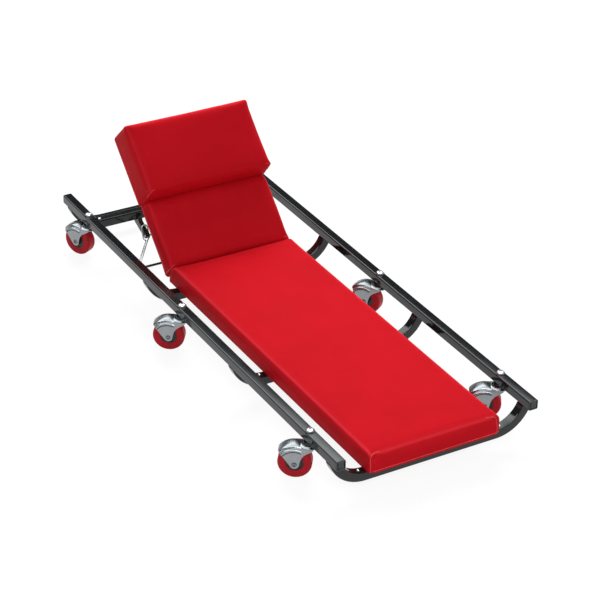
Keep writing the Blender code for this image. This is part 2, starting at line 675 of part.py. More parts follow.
HOOD_WALL = HOOD_OUTSIDE - HOOD_INSIDE
hood_outline = [(HOOD_HALF, -0.006), (HOOD_HALF, -0.0036), (HOOD_HALF - 0.0034, -0.0014),
                (HOOD_HALF - 0.0046, 0.0012), (HOOD_HALF - 0.0085, HOOD_WALL + 0.0014),
                (0.0, HOOD_WALL + 0.002)]
inner_outline = [(0.0, 0.0), (LEG_OUTSIDE - 0.0050, -0.0010), (LEG_OUTSIDE - GAP, -0.006)]
hood_profile = hood_outline + [(-a, b) for a, b in reversed(hood_outline[:-1])]
hood_profile += [(-a, b) for a, b in reversed(inner_outline)] + inner_outline[1:]
bm = bmesh.new()
verts = [bm.verts.new((0, w, HOOD_INSIDE + up)) for w, up in hood_profile]
edges = [bm.edges.new(pair) for pair in zip(verts, verts[1:] + verts[:1])]
bmesh.ops.rotate(bm, verts=bm.verts, cent=(0, 0, 0), matrix=Matrix.Rotation(HOOD_BACK, 3, "Y"))
bmesh.ops.spin(bm, geom=verts + edges, cent=(0, 0, 0), axis=(0, -1, 0),
               angle=HOOD_BACK + HOOD_FRONT, steps=6)
bmesh.ops.holes_fill(bm, edges=[edge for edge in bm.edges if edge.is_boundary])
bmesh.ops.translate(bm, verts=bm.verts, vec=(TRAIL, 0, WHEEL_RADIUS))
fork = finish(bm)

AXLE_EAR = 0.0085
leg_outline = arc((TRAIL, WHEEL_RADIUS), AXLE_EAR, 200, 320, 6)
leg_outline += [(TRAIL + 0.0262, WHEEL_RADIUS + 0.0215), (TRAIL + 0.0180, WHEEL_RADIUS + 0.0290)]
leg_outline += [(TRAIL, WHEEL_RADIUS + 0.0345), (-0.0080, RACE_LOW + 0.0015)]
leg_outline += [(-0.0080, RACE_LOW - 0.0080), (0.0040, WHEEL_RADIUS + 0.0228)]
leg_outline += [(0.0108, WHEEL_RADIUS + 0.0165), (0.0152, WHEEL_RADIUS + 0.0065)]
for side in (-1, 1):
    low, high = sorted((side * LEG_INSIDE, side * LEG_OUTSIDE))
    fork = combine(fork, prism(leg_outline, low, high, STANDING_XZ), "UNION")
race_profile = ((0, RACE_LOW), (RACE_RADIUS, RACE_LOW), (RACE_RADIUS + 0.0006, RACE_LOW + 0.0022),
                (RACE_RADIUS - 0.0040, RACE_LOW + 0.0048), (0.0125, RACE_LOW + 0.0056),
                (0.0115, RACE_TOP), (0, RACE_TOP))
fork = combine(fork, revolve(race_profile, 16), "UNION")
bore = cylinder(BOLT_RADIUS + 2 * GAP, 0.2, 12, Matrix())
fork = combine(fork, bore, "DIFFERENCE")
AXLE_RADIUS = 0.0039
axle_line = Matrix.Translation((TRAIL, 0, WHEEL_RADIUS)) @ AXLE_ALONG_Y
fork = combine(fork, cylinder(AXLE_RADIUS + GAP, 0.2, 12, axle_line), "DIFFERENCE")

# King bolt with a domed socket head above the rail and a nut under the fork
HEAD_RADIUS = 0.0090
HEAD_RISE = 0.0056
nut_top = RACE_LOW - GAP
nut_low = nut_top - 0.0055
bolt_profile = ((0, RAIL_TOP + HEAD_RISE), (0.0045, RAIL_TOP + HEAD_RISE - 0.0004),
                (0.0072, RAIL_TOP + HEAD_RISE - 0.0020), (HEAD_RADIUS, RAIL_TOP + 0.0012),
                (HEAD_RADIUS, RAIL_TOP + GAP), (BOLT_RADIUS, RAIL_TOP + GAP),
                (BOLT_RADIUS, nut_low - 0.0008), (0, nut_low - 0.0008))
bolt = revolve(bolt_profile, 14)
nut = cylinder(NUT_RADIUS, nut_top - nut_low, 6, Matrix.Translation((0, 0, (nut_top + nut_low) / 2)))
bolt = combine(bolt, nut, "UNION")
socket = cylinder(0.0030, 0.0060, 6, Matrix.Translation((0, 0, RAIL_TOP + HEAD_RISE)))
bolt = combine(bolt, socket, "DIFFERENCE")

# Axle rivet, hub and tyre, turned about the wheel's axis
head_from = LEG_OUTSIDE + GAP
half_axle = ((0, head_from + 0.0012), (0.0028, head_from + 0.0024), (0.0048, head_from + 0.0021),
             (0.0060, head_from), (AXLE_RADIUS, head_from))
axle_profile = half_axle + tuple((radius, -height) for radius, height in reversed(half_axle))
axle = moved(revolve(axle_profile, 10), AXLE_ALONG_Y)
boss = LEG_INSIDE - 0.0005
web = WHEEL_WIDTH / 2 - 0.0040
half_hub = ((AXLE_RADIUS + 2 * GAP, boss), (0.0080, boss), (0.0092, web), (HUB_RADIUS - 0.0025, web),
            (HUB_RADIUS, WHEEL_WIDTH / 2 - 0.0016))
hub_profile = half_hub + tuple((radius, -height) for radius, height in reversed(half_hub))
hub = moved(revolve(hub_profile, 16, closed=True), AXLE_ALONG_Y)
half_tyre = ((HUB_RADIUS + 2 * GAP, WHEEL_WIDTH / 2 - 0.0012), (WHEEL_RADIUS - 0.0045, WHEEL_WIDTH / 2),
             (WHEEL_RADIUS - 0.0014, WHEEL_WIDTH / 2 - 0.0026), (WHEEL_RADIUS, WHEEL_WIDTH / 2 - 0.0060))
tyre_profile = half_tyre + tuple((radius, -height) for radius, height in reversed(half_tyre))
tyre = moved(revolve(tyre_profile, 24, closed=True), AXLE_ALONG_Y)

for name, side, y, trail_angle in CASTERS:
    stand = Matrix.Translation((side * RAIL_X, y, 0))
    turn = Matrix.Rotation(math.radians(trail_angle), 4, "Z")
    place("bolt_" + name, bolt.copy(), zinc, stand)
    place("fork_" + name, fork.copy(), chrome, stand @ turn)
    wheel_centre = stand @ turn @ Matrix.Translation((TRAIL, 0, WHEEL_RADIUS))
    place("axle_" + name, axle.copy(), zinc, wheel_centre)
    place("hub_" + name, hub.copy(), hub_black, wheel_centre)
    place("tyre_" + name, tyre.copy(), tyre_red, wheel_centre)
    axis = turn @ Vector((0, 1, 0))
    print("caster", name, [round(v, 5) for v in wheel_centre.translation], [round(v, 5) for v in axis])

# The origin is on the floor under the middle of the whole box; the casters trail to the left,
# so everything moves a little to the right
bpy.context.view_layer.update()
across = [(part.matrix_world @ vert.co).x
          for part in parts.objects if part.type == "MESH" for vert in part.data.vertices]
to_middle = -(min(across) + max(across)) / 2
for part in parts.objects:
    if not part.parent:
        part.location.x += to_middle
print("moved across by", round(to_middle, 5))
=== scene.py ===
# %% [markdown]
# # A mechanic creeper
# A creeper is a low trolley for lying on under a car: square black tube, a red vinyl deck, a padded
# headrest on a hinge and six swivel casters. The moving frame is loaded first and never changed. Every
# piece made below takes its place from that frame, rides on one of its bodies and replaces a plain solid.

# %% Load the frame
import json
import math

import bmesh
import bpy
from mathutils import Matrix, Vector
from mathutils.bvhtree import BVHTree


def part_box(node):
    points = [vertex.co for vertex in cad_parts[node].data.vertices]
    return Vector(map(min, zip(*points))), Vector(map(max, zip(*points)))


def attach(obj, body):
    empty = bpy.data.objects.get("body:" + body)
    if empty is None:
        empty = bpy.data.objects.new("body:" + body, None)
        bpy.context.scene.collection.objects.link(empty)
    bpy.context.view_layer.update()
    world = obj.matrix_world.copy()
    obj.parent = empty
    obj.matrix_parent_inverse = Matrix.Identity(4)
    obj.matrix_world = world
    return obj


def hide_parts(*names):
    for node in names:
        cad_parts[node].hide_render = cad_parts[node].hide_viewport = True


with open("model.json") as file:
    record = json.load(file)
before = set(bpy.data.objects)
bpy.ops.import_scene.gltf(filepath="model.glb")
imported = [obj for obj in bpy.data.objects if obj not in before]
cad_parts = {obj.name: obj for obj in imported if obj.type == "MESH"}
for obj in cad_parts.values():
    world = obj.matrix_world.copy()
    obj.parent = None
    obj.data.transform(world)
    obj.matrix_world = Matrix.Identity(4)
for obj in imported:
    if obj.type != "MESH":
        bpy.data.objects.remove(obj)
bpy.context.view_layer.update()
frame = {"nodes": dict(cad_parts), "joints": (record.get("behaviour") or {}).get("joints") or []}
joints = {joint["name"]: joint for joint in frame["joints"]}
rail_low, rail_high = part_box("rail_right")
MIDDLE_X = (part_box("rail_left")[0].x + rail_high.x) / 2

# %% [markdown]
# ## The camera
# The photograph was taken with a long lens from the foot end, over the left rail. A long lens keeps the
# rails nearly parallel. The camera turns about Z for its side, then tips down, then rolls a little.

# %% Camera
CAMERA_PLACE = Vector((MIDDLE_X - 1.8141, -3.1432, 2.1816))
CAMERA_SIDE, CAMERA_DOWN, CAMERA_ROLL = math.radians(-30.507), math.radians(30.193), math.radians(1.271)
camera_data = bpy.data.cameras.new("photo_camera")
camera_data.sensor_width = 36.0
camera_data.lens = 129.6
camera_data.shift_x, camera_data.shift_y = 0.0017, 0.0008
camera_data.clip_end = 60.0
camera = bpy.data.objects.new("photo_camera", camera_data)
camera.matrix_world = (Matrix.Translation(CAMERA_PLACE) @ Matrix.Rotation(CAMERA_SIDE, 4, "Z")
                       @ Matrix.Rotation(math.pi / 2 - CAMERA_DOWN, 4, "X")
                       @ Matrix.Rotation(CAMERA_ROLL, 4, "Z"))
bpy.context.scene.collection.objects.link(camera)
bpy.context.scene.camera = camera
bpy.context.scene.view_settings.view_transform = "Standard"
print("camera", round(CAMERA_PLACE.length, 2), "m from the middle of the floor")

# %% [markdown]
# ## Studio
# The background is white, so the floor and the sky glow for the rays that reach the camera straight or
# by a reflection, and the floor still takes a soft shadow. The light is a broad panel above and behind the
# headrest, which makes the flat deck brighter than the headrest, and a weak one at the foot end. Gloss
# paint and bright metal mirror the sky and not the broad panel: a dark band, so that they look like metal,
# and a bright band above it, which the rail tops catch at the foot end only.


# %% Rays that meet the studio
def seen_or_mirrored(tree):
    path = tree.nodes.new("ShaderNodeLightPath")
    first = tree.nodes.new("ShaderNodeMath")
    first.operation = "MAXIMUM"
    second = tree.nodes.new("ShaderNodeMath")
    second.operation = "MAXIMUM"
    tree.links.new(path.outputs["Is Camera Ray"], first.inputs[0])
    tree.links.new(path.outputs["Is Glossy Ray"], first.inputs[1])
    tree.links.new(first.outputs[0], second.inputs[0])
    tree.links.new(path.outputs["Is Transmission Ray"], second.inputs[1])
    return path, second.outputs[0]


print("the studio can tell camera, glossy and transmission rays from the rest")

# %% Floor
FLOOR_HALF = 40.0
FLOOR_DROP = 0.0005
FLOOR_GREY = 0.68
FLOOR_GLOW, GLOW_SHARE = 1.12, 0.8


def make_floor():
    bm = bmesh.new()
    bmesh.ops.create_grid(bm, x_segments=1, y_segments=1, size=FLOOR_HALF)
    mesh = bpy.data.meshes.new("studio_floor")
    bm.to_mesh(mesh)
    bm.free()
    paint = bpy.data.materials.new("studio_floor")
    paint.use_nodes = True
    tree = paint.node_tree
    tree.nodes.clear()
    matt = tree.nodes.new("ShaderNodeBsdfDiffuse")
    matt.inputs["Color"].default_value = (FLOOR_GREY, FLOOR_GREY, FLOOR_GREY, 1.0)
    glow = tree.nodes.new("ShaderNodeEmission")
    glow.inputs["Strength"].default_value = FLOOR_GLOW
    blend = tree.nodes.new("ShaderNodeMixShader")
    share = tree.nodes.new("ShaderNodeMath")
    share.operation = "MULTIPLY"
    share.inputs[1].default_value = GLOW_SHARE
    out = tree.nodes.new("ShaderNodeOutputMaterial")
    tree.links.new(seen_or_mirrored(tree)[1], share.inputs[0])
    tree.links.new(share.outputs[0], blend.inputs["Fac"])
    tree.links.new(matt.outputs[0], blend.inputs[1])
    tree.links.new(glow.outputs[0], blend.inputs[2])
    tree.links.new(blend.outputs[0], out.inputs["Surface"])
    mesh.materials.append(paint)
    floor = bpy.data.objects.new("studio_floor", mesh)
    floor.location.z = -FLOOR_DROP
    bpy.context.scene.collection.objects.link(floor)


make_floor()
print("floor reaches", FLOOR_HALF, "m each way")

# %% Sky
SKY_STOPS = ((0.0, 0.23), (0.08, 0.21), (0.20, 0.03), (0.528, 0.015),
             (0.578, 1.0), (0.66, 0.95), (0.80, 0.5), (1.0, 0.45))
SKY_RED = 0.94
SKY_AMBIENT, SKY_MIRRORED = 0.34, 4.6


def make_sky():
    sky = bpy.data.worlds.new("studio_sky")
    bpy.context.scene.world = sky
    sky.use_nodes = True
    tree = sky.node_tree
    tree.nodes.clear()
    path, direct = seen_or_mirrored(tree)
    where = tree.nodes.new("ShaderNodeTexCoord")
    split = tree.nodes.new("ShaderNodeSeparateXYZ")
    bands = tree.nodes.new("ShaderNodeValToRGB")
    bands.color_ramp.interpolation = "EASE"
    while len(bands.color_ramp.elements) < len(SKY_STOPS):
        bands.color_ramp.elements.new(0.5)
    for element, (height, level) in zip(bands.color_ramp.elements, SKY_STOPS):
        element.position = height
        element.color = (SKY_RED * level, level, level, 1.0)
    ambient = tree.nodes.new("ShaderNodeBackground")
    ambient.inputs["Color"].default_value = (0.96, 0.98, 1.0, 1.0)
    ambient.inputs["Strength"].default_value = SKY_AMBIENT
    mirrored = tree.nodes.new("ShaderNodeBackground")
    mirrored.inputs["Strength"].default_value = SKY_MIRRORED
    white = tree.nodes.new("ShaderNodeBackground")
    white.inputs["Color"].default_value = (1.0, 1.0, 1.0, 1.0)
    first = tree.nodes.new("ShaderNodeMixShader")
    second = tree.nodes.new("ShaderNodeMixShader")
    out = tree.nodes.new("ShaderNodeOutputWorld")
    tree.links.new(where.outputs["Generated"], split.inputs[0])
    tree.links.new(split.outputs["Z"], bands.inputs["Fac"])
    tree.links.new(bands.outputs["Color"], mirrored.inputs["Color"])
    tree.links.new(direct, first.inputs["Fac"])
    tree.links.new(ambient.outputs[0], first.inputs[1])
    tree.links.new(mirrored.outputs[0], first.inputs[2])
    tree.links.new(path.outputs["Is Camera Ray"], second.inputs["Fac"])
    tree.links.new(first.outputs[0], second.inputs[1])
    tree.links.new(white.outputs[0], second.inputs[2])
    tree.links.new(second.outputs[0], out.inputs["Surface"])


make_sky()
print("sky has", len(SKY_STOPS), "stops from the horizon to overhead")


# %% Lamps
def add_panel(name, place, aim, size, watts, mirrored):
    lamp = bpy.data.lights.new(name, "AREA")
    lamp.shape = "RECTANGLE"
    lamp.size, lamp.size_y = size
    lamp.energy = watts
    holder = bpy.data.objects.new(name, lamp)
    holder.location = place
    holder.visible_glossy = mirrored
    holder.rotation_euler = (Vector(aim) - Vector(place)).to_track_quat("-Z", "Y").to_euler()
    bpy.context.scene.collection.objects.link(holder)


add_panel("back_panel", place=(1.3, 2.75, 2.75), aim=(0.0, 0.1, 0.1), size=(3.2, 1.8), watts=182.0,
          mirrored=False)
add_panel("front_panel", place=(-0.8, -2.2, 1.8), aim=(0.0, -0.3, 0.1), size=(1.2, 0.8), watts=24.0,
          mirrored=True)
print("studio has", len(bpy.data.lights), "lamps")

# %% [markdown]
# ## Shared effects
# Real surfaces are never one value all over. Two effects are used by every finish: slow clouds, which
# shift colour and gloss a little from place to place, and a fine pebble, the relief of moulded vinyl and
# powder coat. Each is a node group, so a finish only sets its scale.


# %% Node groups
def make_group(name, inputs, outputs):
    group = bpy.data.node_groups.new(name, "ShaderNodeTree")
    for label, value in inputs:
        socket = group.interface.new_socket(label, in_out="INPUT", socket_type="NodeSocketFloat")
        socket.default_value = value
    for label in outputs:
        group.interface.new_socket(label, in_out="OUTPUT", socket_type="NodeSocketFloat")
    return group, group.nodes.new("NodeGroupInput"), group.nodes.new("NodeGroupOutput")


def make_clouds():
    group, given, result = make_group("slow_clouds", [("Scale", 20.0)], ["Mask"])
    where = group.nodes.new("ShaderNodeTexCoord")
    noise = group.nodes.new("ShaderNodeTexNoise")
    noise.inputs["Detail"].default_value = 5.0
    spread = group.nodes.new("ShaderNodeMapRange")
    spread.inputs["From Min"].default_value = 0.32
    spread.inputs["From Max"].default_value = 0.68
    group.links.new(where.outputs["Object"], noise.inputs["Vector"])
    group.links.new(given.outputs["Scale"], noise.inputs["Scale"])
    group.links.new(noise.outputs["Fac"], spread.inputs["Value"])
    group.links.new(spread.outputs["Result"], result.inputs["Mask"])
    return group


def make_pebble():
    group, given, result = make_group("fine_pebble", [("Scale", 700.0)], ["Height"])
    where = group.nodes.new("ShaderNodeTexCoord")
    cells = group.nodes.new("ShaderNodeTexVoronoi")
    cells.feature = "SMOOTH_F1"
    noise = group.nodes.new("ShaderNodeTexNoise")
    noise.inputs["Detail"].default_value = 3.0
    joined = group.nodes.new("ShaderNodeMath")
    group.links.new(where.outputs["Object"], cells.inputs["Vector"])
    group.links.new(where.outputs["Object"], noise.inputs["Vector"])
    group.links.new(given.outputs["Scale"], cells.inputs["Scale"])
    group.links.new(given.outputs["Scale"], noise.inputs["Scale"])
    group.links.new(cells.outputs["Distance"], joined.inputs[0])
    group.links.new(noise.outputs["Fac"], joined.inputs[1])
    group.links.new(joined.outputs[0], result.inputs["Height"])
    return group


clouds_group = make_clouds()
pebble_group = make_pebble()
print("shared effects:", clouds_group.name, "and", pebble_group.name)

# %% [markdown]
# ## Finishes
# One function wires the shared effects into a Principled shader: the clouds pick between two near
# colours and two near glosses, and the pebble lifts the surface by a set depth. What is the same all
# over, such as metalness or the specular level, is set on the shader's own socket. The vinyl also has a
# painted highlight for the light that its rounded edges catch: its colour turns paler there, by a share
# kept on each point of the pad.


# %% One recipe for every finish
def make_finish(name, colours, glosses, clouds, pebble, depth, **sockets):
    finish = bpy.data.materials.new(name)
    finish.use_nodes = True
    tree = finish.node_tree
    shader = tree.nodes["Principled BSDF"]
    for label, value in sockets.items():
        shader.inputs[label.replace("_", " ")].default_value = value
    mask = tree.nodes.new("ShaderNodeGroup")
    mask.node_tree = clouds_group
    mask.inputs["Scale"].default_value = clouds
    tint = tree.nodes.new("ShaderNodeMix")
    tint.data_type = "RGBA"
    tint.inputs["A"].default_value = (*colours[0], 1.0)
    tint.inputs["B"].default_value = (*colours[1], 1.0)
    gloss = tree.nodes.new("ShaderNodeMapRange")
    gloss.inputs["To Min"].default_value, gloss.inputs["To Max"].default_value = glosses
    relief = tree.nodes.new("ShaderNodeGroup")
    relief.node_tree = pebble_group
    relief.inputs["Scale"].default_value = pebble
    bump = tree.nodes.new("ShaderNodeBump")
    bump.inputs["Distance"].default_value = depth
    bump.inputs["Strength"].default_value = 1.0
    tree.links.new(mask.outputs["Mask"], tint.inputs["Factor"])
    tree.links.new(mask.outputs["Mask"], gloss.inputs["Value"])
    tree.links.new(tint.outputs["Result"], shader.inputs["Base Color"])
    tree.links.new(gloss.outputs["Result"], shader.inputs["Roughness"])
    tree.links.new(relief.outputs["Height"], bump.inputs["Height"])
    tree.links.new(bump.outputs["Normal"], shader.inputs["Normal"])
    print("finish:", name)
    return finish


# Painted highlight: the base colour is mixed towards a paler red by each point's edge highlight share.
def paint_edge_highlight(finish, colour):
    tree = finish.node_tree
    base = tree.nodes["Principled BSDF"].inputs["Base Color"]
    highlight_share = tree.nodes.new("ShaderNodeAttribute")
    highlight_share.attribute_name = "painted_edge_highlight"
    highlighted = tree.nodes.new("ShaderNodeMix")
    highlighted.data_type = "RGBA"
    highlighted.inputs["B"].default_value = (*colour, 1.0)
    tree.links.new(base.links[0].from_socket, highlighted.inputs["A"])
    tree.links.new(highlight_share.outputs["Fac"], highlighted.inputs["Factor"])
    tree.links.new(highlighted.outputs["Result"], base)


print("a finish takes two colours, two glosses, a cloud size and a pebble")

# %% Coats and metals
black_coat = make_finish("black_powder_coat", ((0.006, 0.007, 0.008), (0.010, 0.011, 0.012)), (0.07, 0.11),
                         clouds=12.0, pebble=700.0, depth=0.000003, Specular_IOR_Level=0.4)
zinc = make_finish("bright_zinc", ((0.52, 0.53, 0.54), (0.62, 0.63, 0.64)), (0.12, 0.20),
                   clouds=90.0, pebble=1800.0, depth=0.000006, Metallic=1.0)
dull_zinc = make_finish("dull_zinc", ((0.52, 0.53, 0.54), (0.60, 0.61, 0.62)), (0.42, 0.52),
                        clouds=90.0, pebble=1800.0, depth=0.000006, Metallic=1.0)
grey_zinc = make_finish("grey_zinc", ((0.36, 0.37, 0.38), (0.44, 0.45, 0.46)), (0.32, 0.42),
                        clouds=90.0, pebble=1800.0, depth=0.000006, Metallic=1.0)
axle_steel = make_finish("axle_steel", ((0.14, 0.145, 0.15), (0.20, 0.205, 0.21)), (0.22, 0.30),
                         clouds=90.0, pebble=1800.0, depth=0.000006, Metallic=1.0)
chrome = make_finish("caster_chrome", ((0.27, 0.285, 0.30), (0.32, 0.335, 0.35)), (0.26, 0.34),
                     clouds=60.0, pebble=1500.0, depth=0.000006, Metallic=1.0)

# %% Plastic, wood and vinyl
cap_plastic = make_finish("end_cap_plastic", ((0.018, 0.020, 0.022), (0.026, 0.028, 0.030)), (0.35, 0.45),
                          clouds=60.0, pebble=1500.0, depth=0.00003)
plywood = make_finish("raw_plywood", ((0.42, 0.27, 0.13), (0.55, 0.38, 0.21)), (0.60, 0.80),
                      clouds=14.0, pebble=500.0, depth=0.00012)
vinyl = make_finish("red_vinyl", ((0.56, 0.007, 0.014), (0.62, 0.009, 0.017)), (0.38, 0.46),
                    clouds=9.0, pebble=620.0, depth=0.00004, Specular_IOR_Level=0.02)
# Painted highlight colour for the vinyl's rounded edges, standing in for the light they catch.
VINYL_HIGHLIGHT = (0.92, 0.036, 0.052)
paint_edge_highlight(vinyl, VINYL_HIGHLIGHT)
# The beads' vinyl is painted paler as a highlight for the light their folds catch; its higher specular
# level is real gloss.
bead_highlight_vinyl = make_finish("red_bead_painted_highlight", ((0.68, 0.040, 0.050), (0.74, 0.060, 0.070)), (0.30, 0.40),
                     clouds=30.0, pebble=900.0, depth=0.00002, Specular_IOR_Level=0.3)
# Black hub plastic; it also colours the painted shade strips under the hood rims and the dark ring under
# each king bolt.
hub_plastic_and_shade = make_finish("hub_plastic_and_shade", ((0.012, 0.012, 0.013), (0.022, 0.022, 0.024)), (0.40, 0.55),
                          clouds=80.0, pebble=1400.0, depth=0.00004)
tyre_red = make_finish("tyre_red", ((0.40, 0.009, 0.017), (0.47, 0.011, 0.021)), (0.34, 0.50),
                       clouds=45.0, pebble=1100.0, depth=0.00004, Specular_IOR_Level=0.15)

# %% [markdown]
# ## Putting a piece in the scene
# Every piece ends the same way: doubles merged, faces turned outwards, smooth shading up to a set angle,
# one finish, one body to ride on, and the plain solids that it stands for. On hard pieces the normals lean
# to the larger faces, so a flat side is shaded flat right up to its rounded corner.

# %% Add a piece
FINAL_MERGE = 0.000002
HARD_ANGLE = 60.0


def add_piece(name, bm, finish, body, nodes=(), slot=None, sharp=35.0, levels=0):
    bmesh.ops.remove_doubles(bm, verts=bm.verts, dist=FINAL_MERGE)
    bmesh.ops.recalc_face_normals(bm, faces=bm.faces)
    mesh = bpy.data.meshes.new(name)
    bm.to_mesh(mesh)
    bm.free()
    mesh.shade_smooth()
    mesh.set_sharp_from_angle(angle=math.radians(sharp))
    mesh.materials.append(finish)
    piece = bpy.data.objects.new(name, mesh)
    bpy.context.scene.collection.objects.link(piece)
    if levels:
        rounder = piece.modifiers.new("rounder", "SUBSURF")
        rounder.levels = levels
        rounder.render_levels = levels
    elif sharp < HARD_ANGLE:
        piece.modifiers.new("flat_faces", "WEIGHTED_NORMAL").keep_sharp = True
    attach(piece, body)
    if nodes:
        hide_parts(*nodes)
    return piece


print("a piece has its doubles closer than", FINAL_MERGE * 1000, "mm merged")

# %% Copies of the frame's own shapes
MERGE_DISTANCE = 0.00001
FLAT_ANGLE = math.radians(1.0)


def node_copy(node):
    bm = bmesh.new()
    bm.from_mesh(frame["nodes"][node].data)
    bmesh.ops.remove_doubles(bm, verts=bm.verts, dist=MERGE_DISTANCE)
    return bm


def merged_copy(node):
    bm = node_copy(node)
    bmesh.ops.dissolve_limit(bm, angle_limit=FLAT_ANGLE, verts=bm.verts, edges=bm.edges)
    return bm


def soften(bm, width, segments=2, angle=30.0):
    sharp = [edge for edge in bm.edges if edge.calc_face_angle(0.0) > math.radians(angle)]
    bmesh.ops.bevel(bm, geom=sharp, offset=width, segments=segments, profile=0.5, affect="EDGES",
                    clamp_overlap=True, material=-1)
    return bm


print("a copy has its points closer than", MERGE_DISTANCE * 1000, "mm merged")


# %% Parts of a mesh
def all_of(bm):
    return bm.verts[:] + bm.edges[:] + bm.faces[:]


def open_edges(bm):
    return [edge for edge in bm.edges if edge.is_boundary]


def verts_in(geometry):
    return [item for item in geometry if isinstance(item, bmesh.types.BMVert)]


print("an open edge has a face on one side only")

# %% [markdown]
# ## Frame tube
# The rails and the crossbar are straight runs of square tube with rounded corners. A square face has its
# four corners bevelled, and is extruded along the tube. The bows start as the same outline at the middle,
# run straight, turn round a bend, and are sawn off level under the rail; the other half is a mirror image.

# %% Rails and crossbar
TUBE_CORNER, CORNER_STEPS = 0.0026, 4


def tube_outline(bm, half):
    bmesh.ops.create_grid(bm, x_segments=1, y_segments=1, size=half)
    bmesh.ops.bevel(bm, geom=list(bm.verts), offset=TUBE_CORNER, segments=CORNER_STEPS, profile=0.5,
                    affect="VERTICES", material=-1)
    return list(bm.faces)[0]


def stretch(bm, face, vector):
    grown = bmesh.ops.extrude_face_region(bm, geom=[face])
    bmesh.ops.translate(bm, verts=verts_in(grown["geom"]), vec=vector)


def straight_tube(node, along):
    low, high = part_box(node)
    middle = (low + high) / 2
    length = high[along] - low[along]
    bm = bmesh.new()
    face = tube_outline(bm, (high.z - low.z) / 2)
    bmesh.ops.translate(bm, verts=bm.verts, vec=(0, 0, -length / 2))
    stretch(bm, face, (0, 0, length))
    turn = Matrix.Rotation(math.pi / 2, 3, "X" if along == 1 else "Y")
    bmesh.ops.rotate(bm, verts=bm.verts, cent=(0, 0, 0), matrix=turn)
    bmesh.ops.translate(bm, verts=bm.verts, vec=middle)
    return bm


for node in ("rail_left", "rail_right"):
    add_piece(node + "_tube", straight_tube(node, 1), black_coat, "frame", [node], "frame_black")
add_piece("crossbar_tube", straight_tube("crossbar", 0), black_coat, "frame", ["crossbar"], "frame_black")
print("rails are", round((rail_high.y - rail_low.y) * 1000, 1), "mm long")

# %% Bows
TUBE = rail_high.z - rail_low.z
BEND_RADIUS = 0.0664
BEND_TURN, BEND_STEPS = math.radians(84), 28
SAW_EDGE = 0.0001


def bow(node):
    low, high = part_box(node)
    centre_z = low.z + TUBE / 2 + BEND_RADIUS
    rise = centre_z - high.z
    bend_x = high.x - MIDDLE_X - math.sqrt((BEND_RADIUS + TUBE / 2) ** 2 - rise ** 2)
    bm = bmesh.new()
    face = tube_outline(bm, TUBE / 2)
    bmesh.ops.delete(bm, geom=[face], context="FACES_ONLY")
    bmesh.ops.rotate(bm, verts=bm.verts, cent=(0, 0, 0), matrix=Matrix.Rotation(math.pi / 2, 3, "Y"))
    bmesh.ops.translate(bm, verts=bm.verts, vec=(0, (low.y + high.y) / 2, low.z + TUBE / 2))
    run = bmesh.ops.extrude_edge_only(bm, edges=bm.edges)["geom"]
    end_verts = verts_in(run)
    end_edges = [item for item in run if isinstance(item, bmesh.types.BMEdge)
                 and all(vert in end_verts for vert in item.verts)]
    bmesh.ops.translate(bm, verts=end_verts, vec=(bend_x, 0, 0))
    bmesh.ops.spin(bm, geom=end_verts + end_edges, cent=(bend_x, 0, centre_z), axis=(0, -1, 0),
                   angle=BEND_TURN, steps=BEND_STEPS)
    bmesh.ops.bisect_plane(bm, geom=all_of(bm), plane_co=(0, 0, high.z), plane_no=(0, 0, 1),
                           clear_outer=True)
    bmesh.ops.holes_fill(bm, edges=[edge for edge in open_edges(bm)
                                    if all(vert.co.z > high.z - SAW_EDGE for vert in edge.verts)])
    bmesh.ops.mirror(bm, geom=all_of(bm), axis="X", merge_dist=MERGE_DISTANCE)
    bmesh.ops.translate(bm, verts=bm.verts, vec=(MIDDLE_X, 0, 0))
    return bm


for node in ("bow_foot", "bow_mid_foot", "bow_mid_head", "bow_head"):
    add_piece(node + "_tube", bow(node), black_coat, "frame", [node], "frame_black")
print("tube is", round(TUBE * 1000, 1), "mm square")

# %% [markdown]
# ## End caps
# A moulded plastic cap closes each rail. Its face is a shallow cushion: the outline is inset three times,
# pushed out, sunk and pushed out again. The plug that holds it is inside the tube, out of sight.

# %% End caps
CAP_THICKNESS = 0.0016
CAP_INSETS = ((0.0010, 0.0006), (0.0022, -0.0005), (0.0006, 0.0004))


def end_cap(node):
    low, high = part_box(node)
    outward = 1 if low.y > 0 else -1
    face_y = high.y if outward > 0 else low.y
    bm = bmesh.new()
    face = tube_outline(bm, (high.z - low.z) / 2)
    stretch(bm, face, (0, 0, CAP_THICKNESS))
    top = max(bm.faces, key=lambda item: item.calc_center_median().z)
    for thickness, depth in CAP_INSETS:
        bmesh.ops.inset_region(bm, faces=[top], thickness=thickness, depth=depth)
    turn = Matrix.Rotation(-outward * math.pi / 2, 3, "X")
    bmesh.ops.rotate(bm, verts=bm.verts, cent=(0, 0, 0), matrix=turn)
    reach = max(outward * vert.co.y for vert in bm.verts)
    middle = Vector(((low.x + high.x) / 2, face_y - outward * reach, (low.z + high.z) / 2))
    bmesh.ops.translate(bm, verts=bm.verts, vec=middle)
    return bm


for node in ("cap_foot_left", "cap_foot_right", "cap_head_left", "cap_head_right"):
    add_piece(node + "_moulding", end_cap(node), cap_plastic, "frame", [node], "cap_grey", sharp=30.0)

# %% [markdown]
# ## Wire and flat bar
# The tie rod, the stay and the prop are bent round wire. A copy of each wire has its triangles joined back
# into quads, and a subdivision surface rounds the rod and the prop. It draws a wire in by about a tenth of
# its radius, so the copy is made that much fatter first. The stay's small eye would blur, so the stay keeps
# its own facets. The straps, brackets, hinge leaves and boards are already the right shape, so a copy only
# gets its edges broken, as filing or tumbling does. Each screw and rivet is half a ball, pressed flat.

# %% Wires
WIRE_RADIUS = 0.0025
WIRE_LEVELS = 2
ROUNDING_LOSS = 0.10
ANY_ANGLE = 3.1
SMOOTH_ANGLE = 80.0


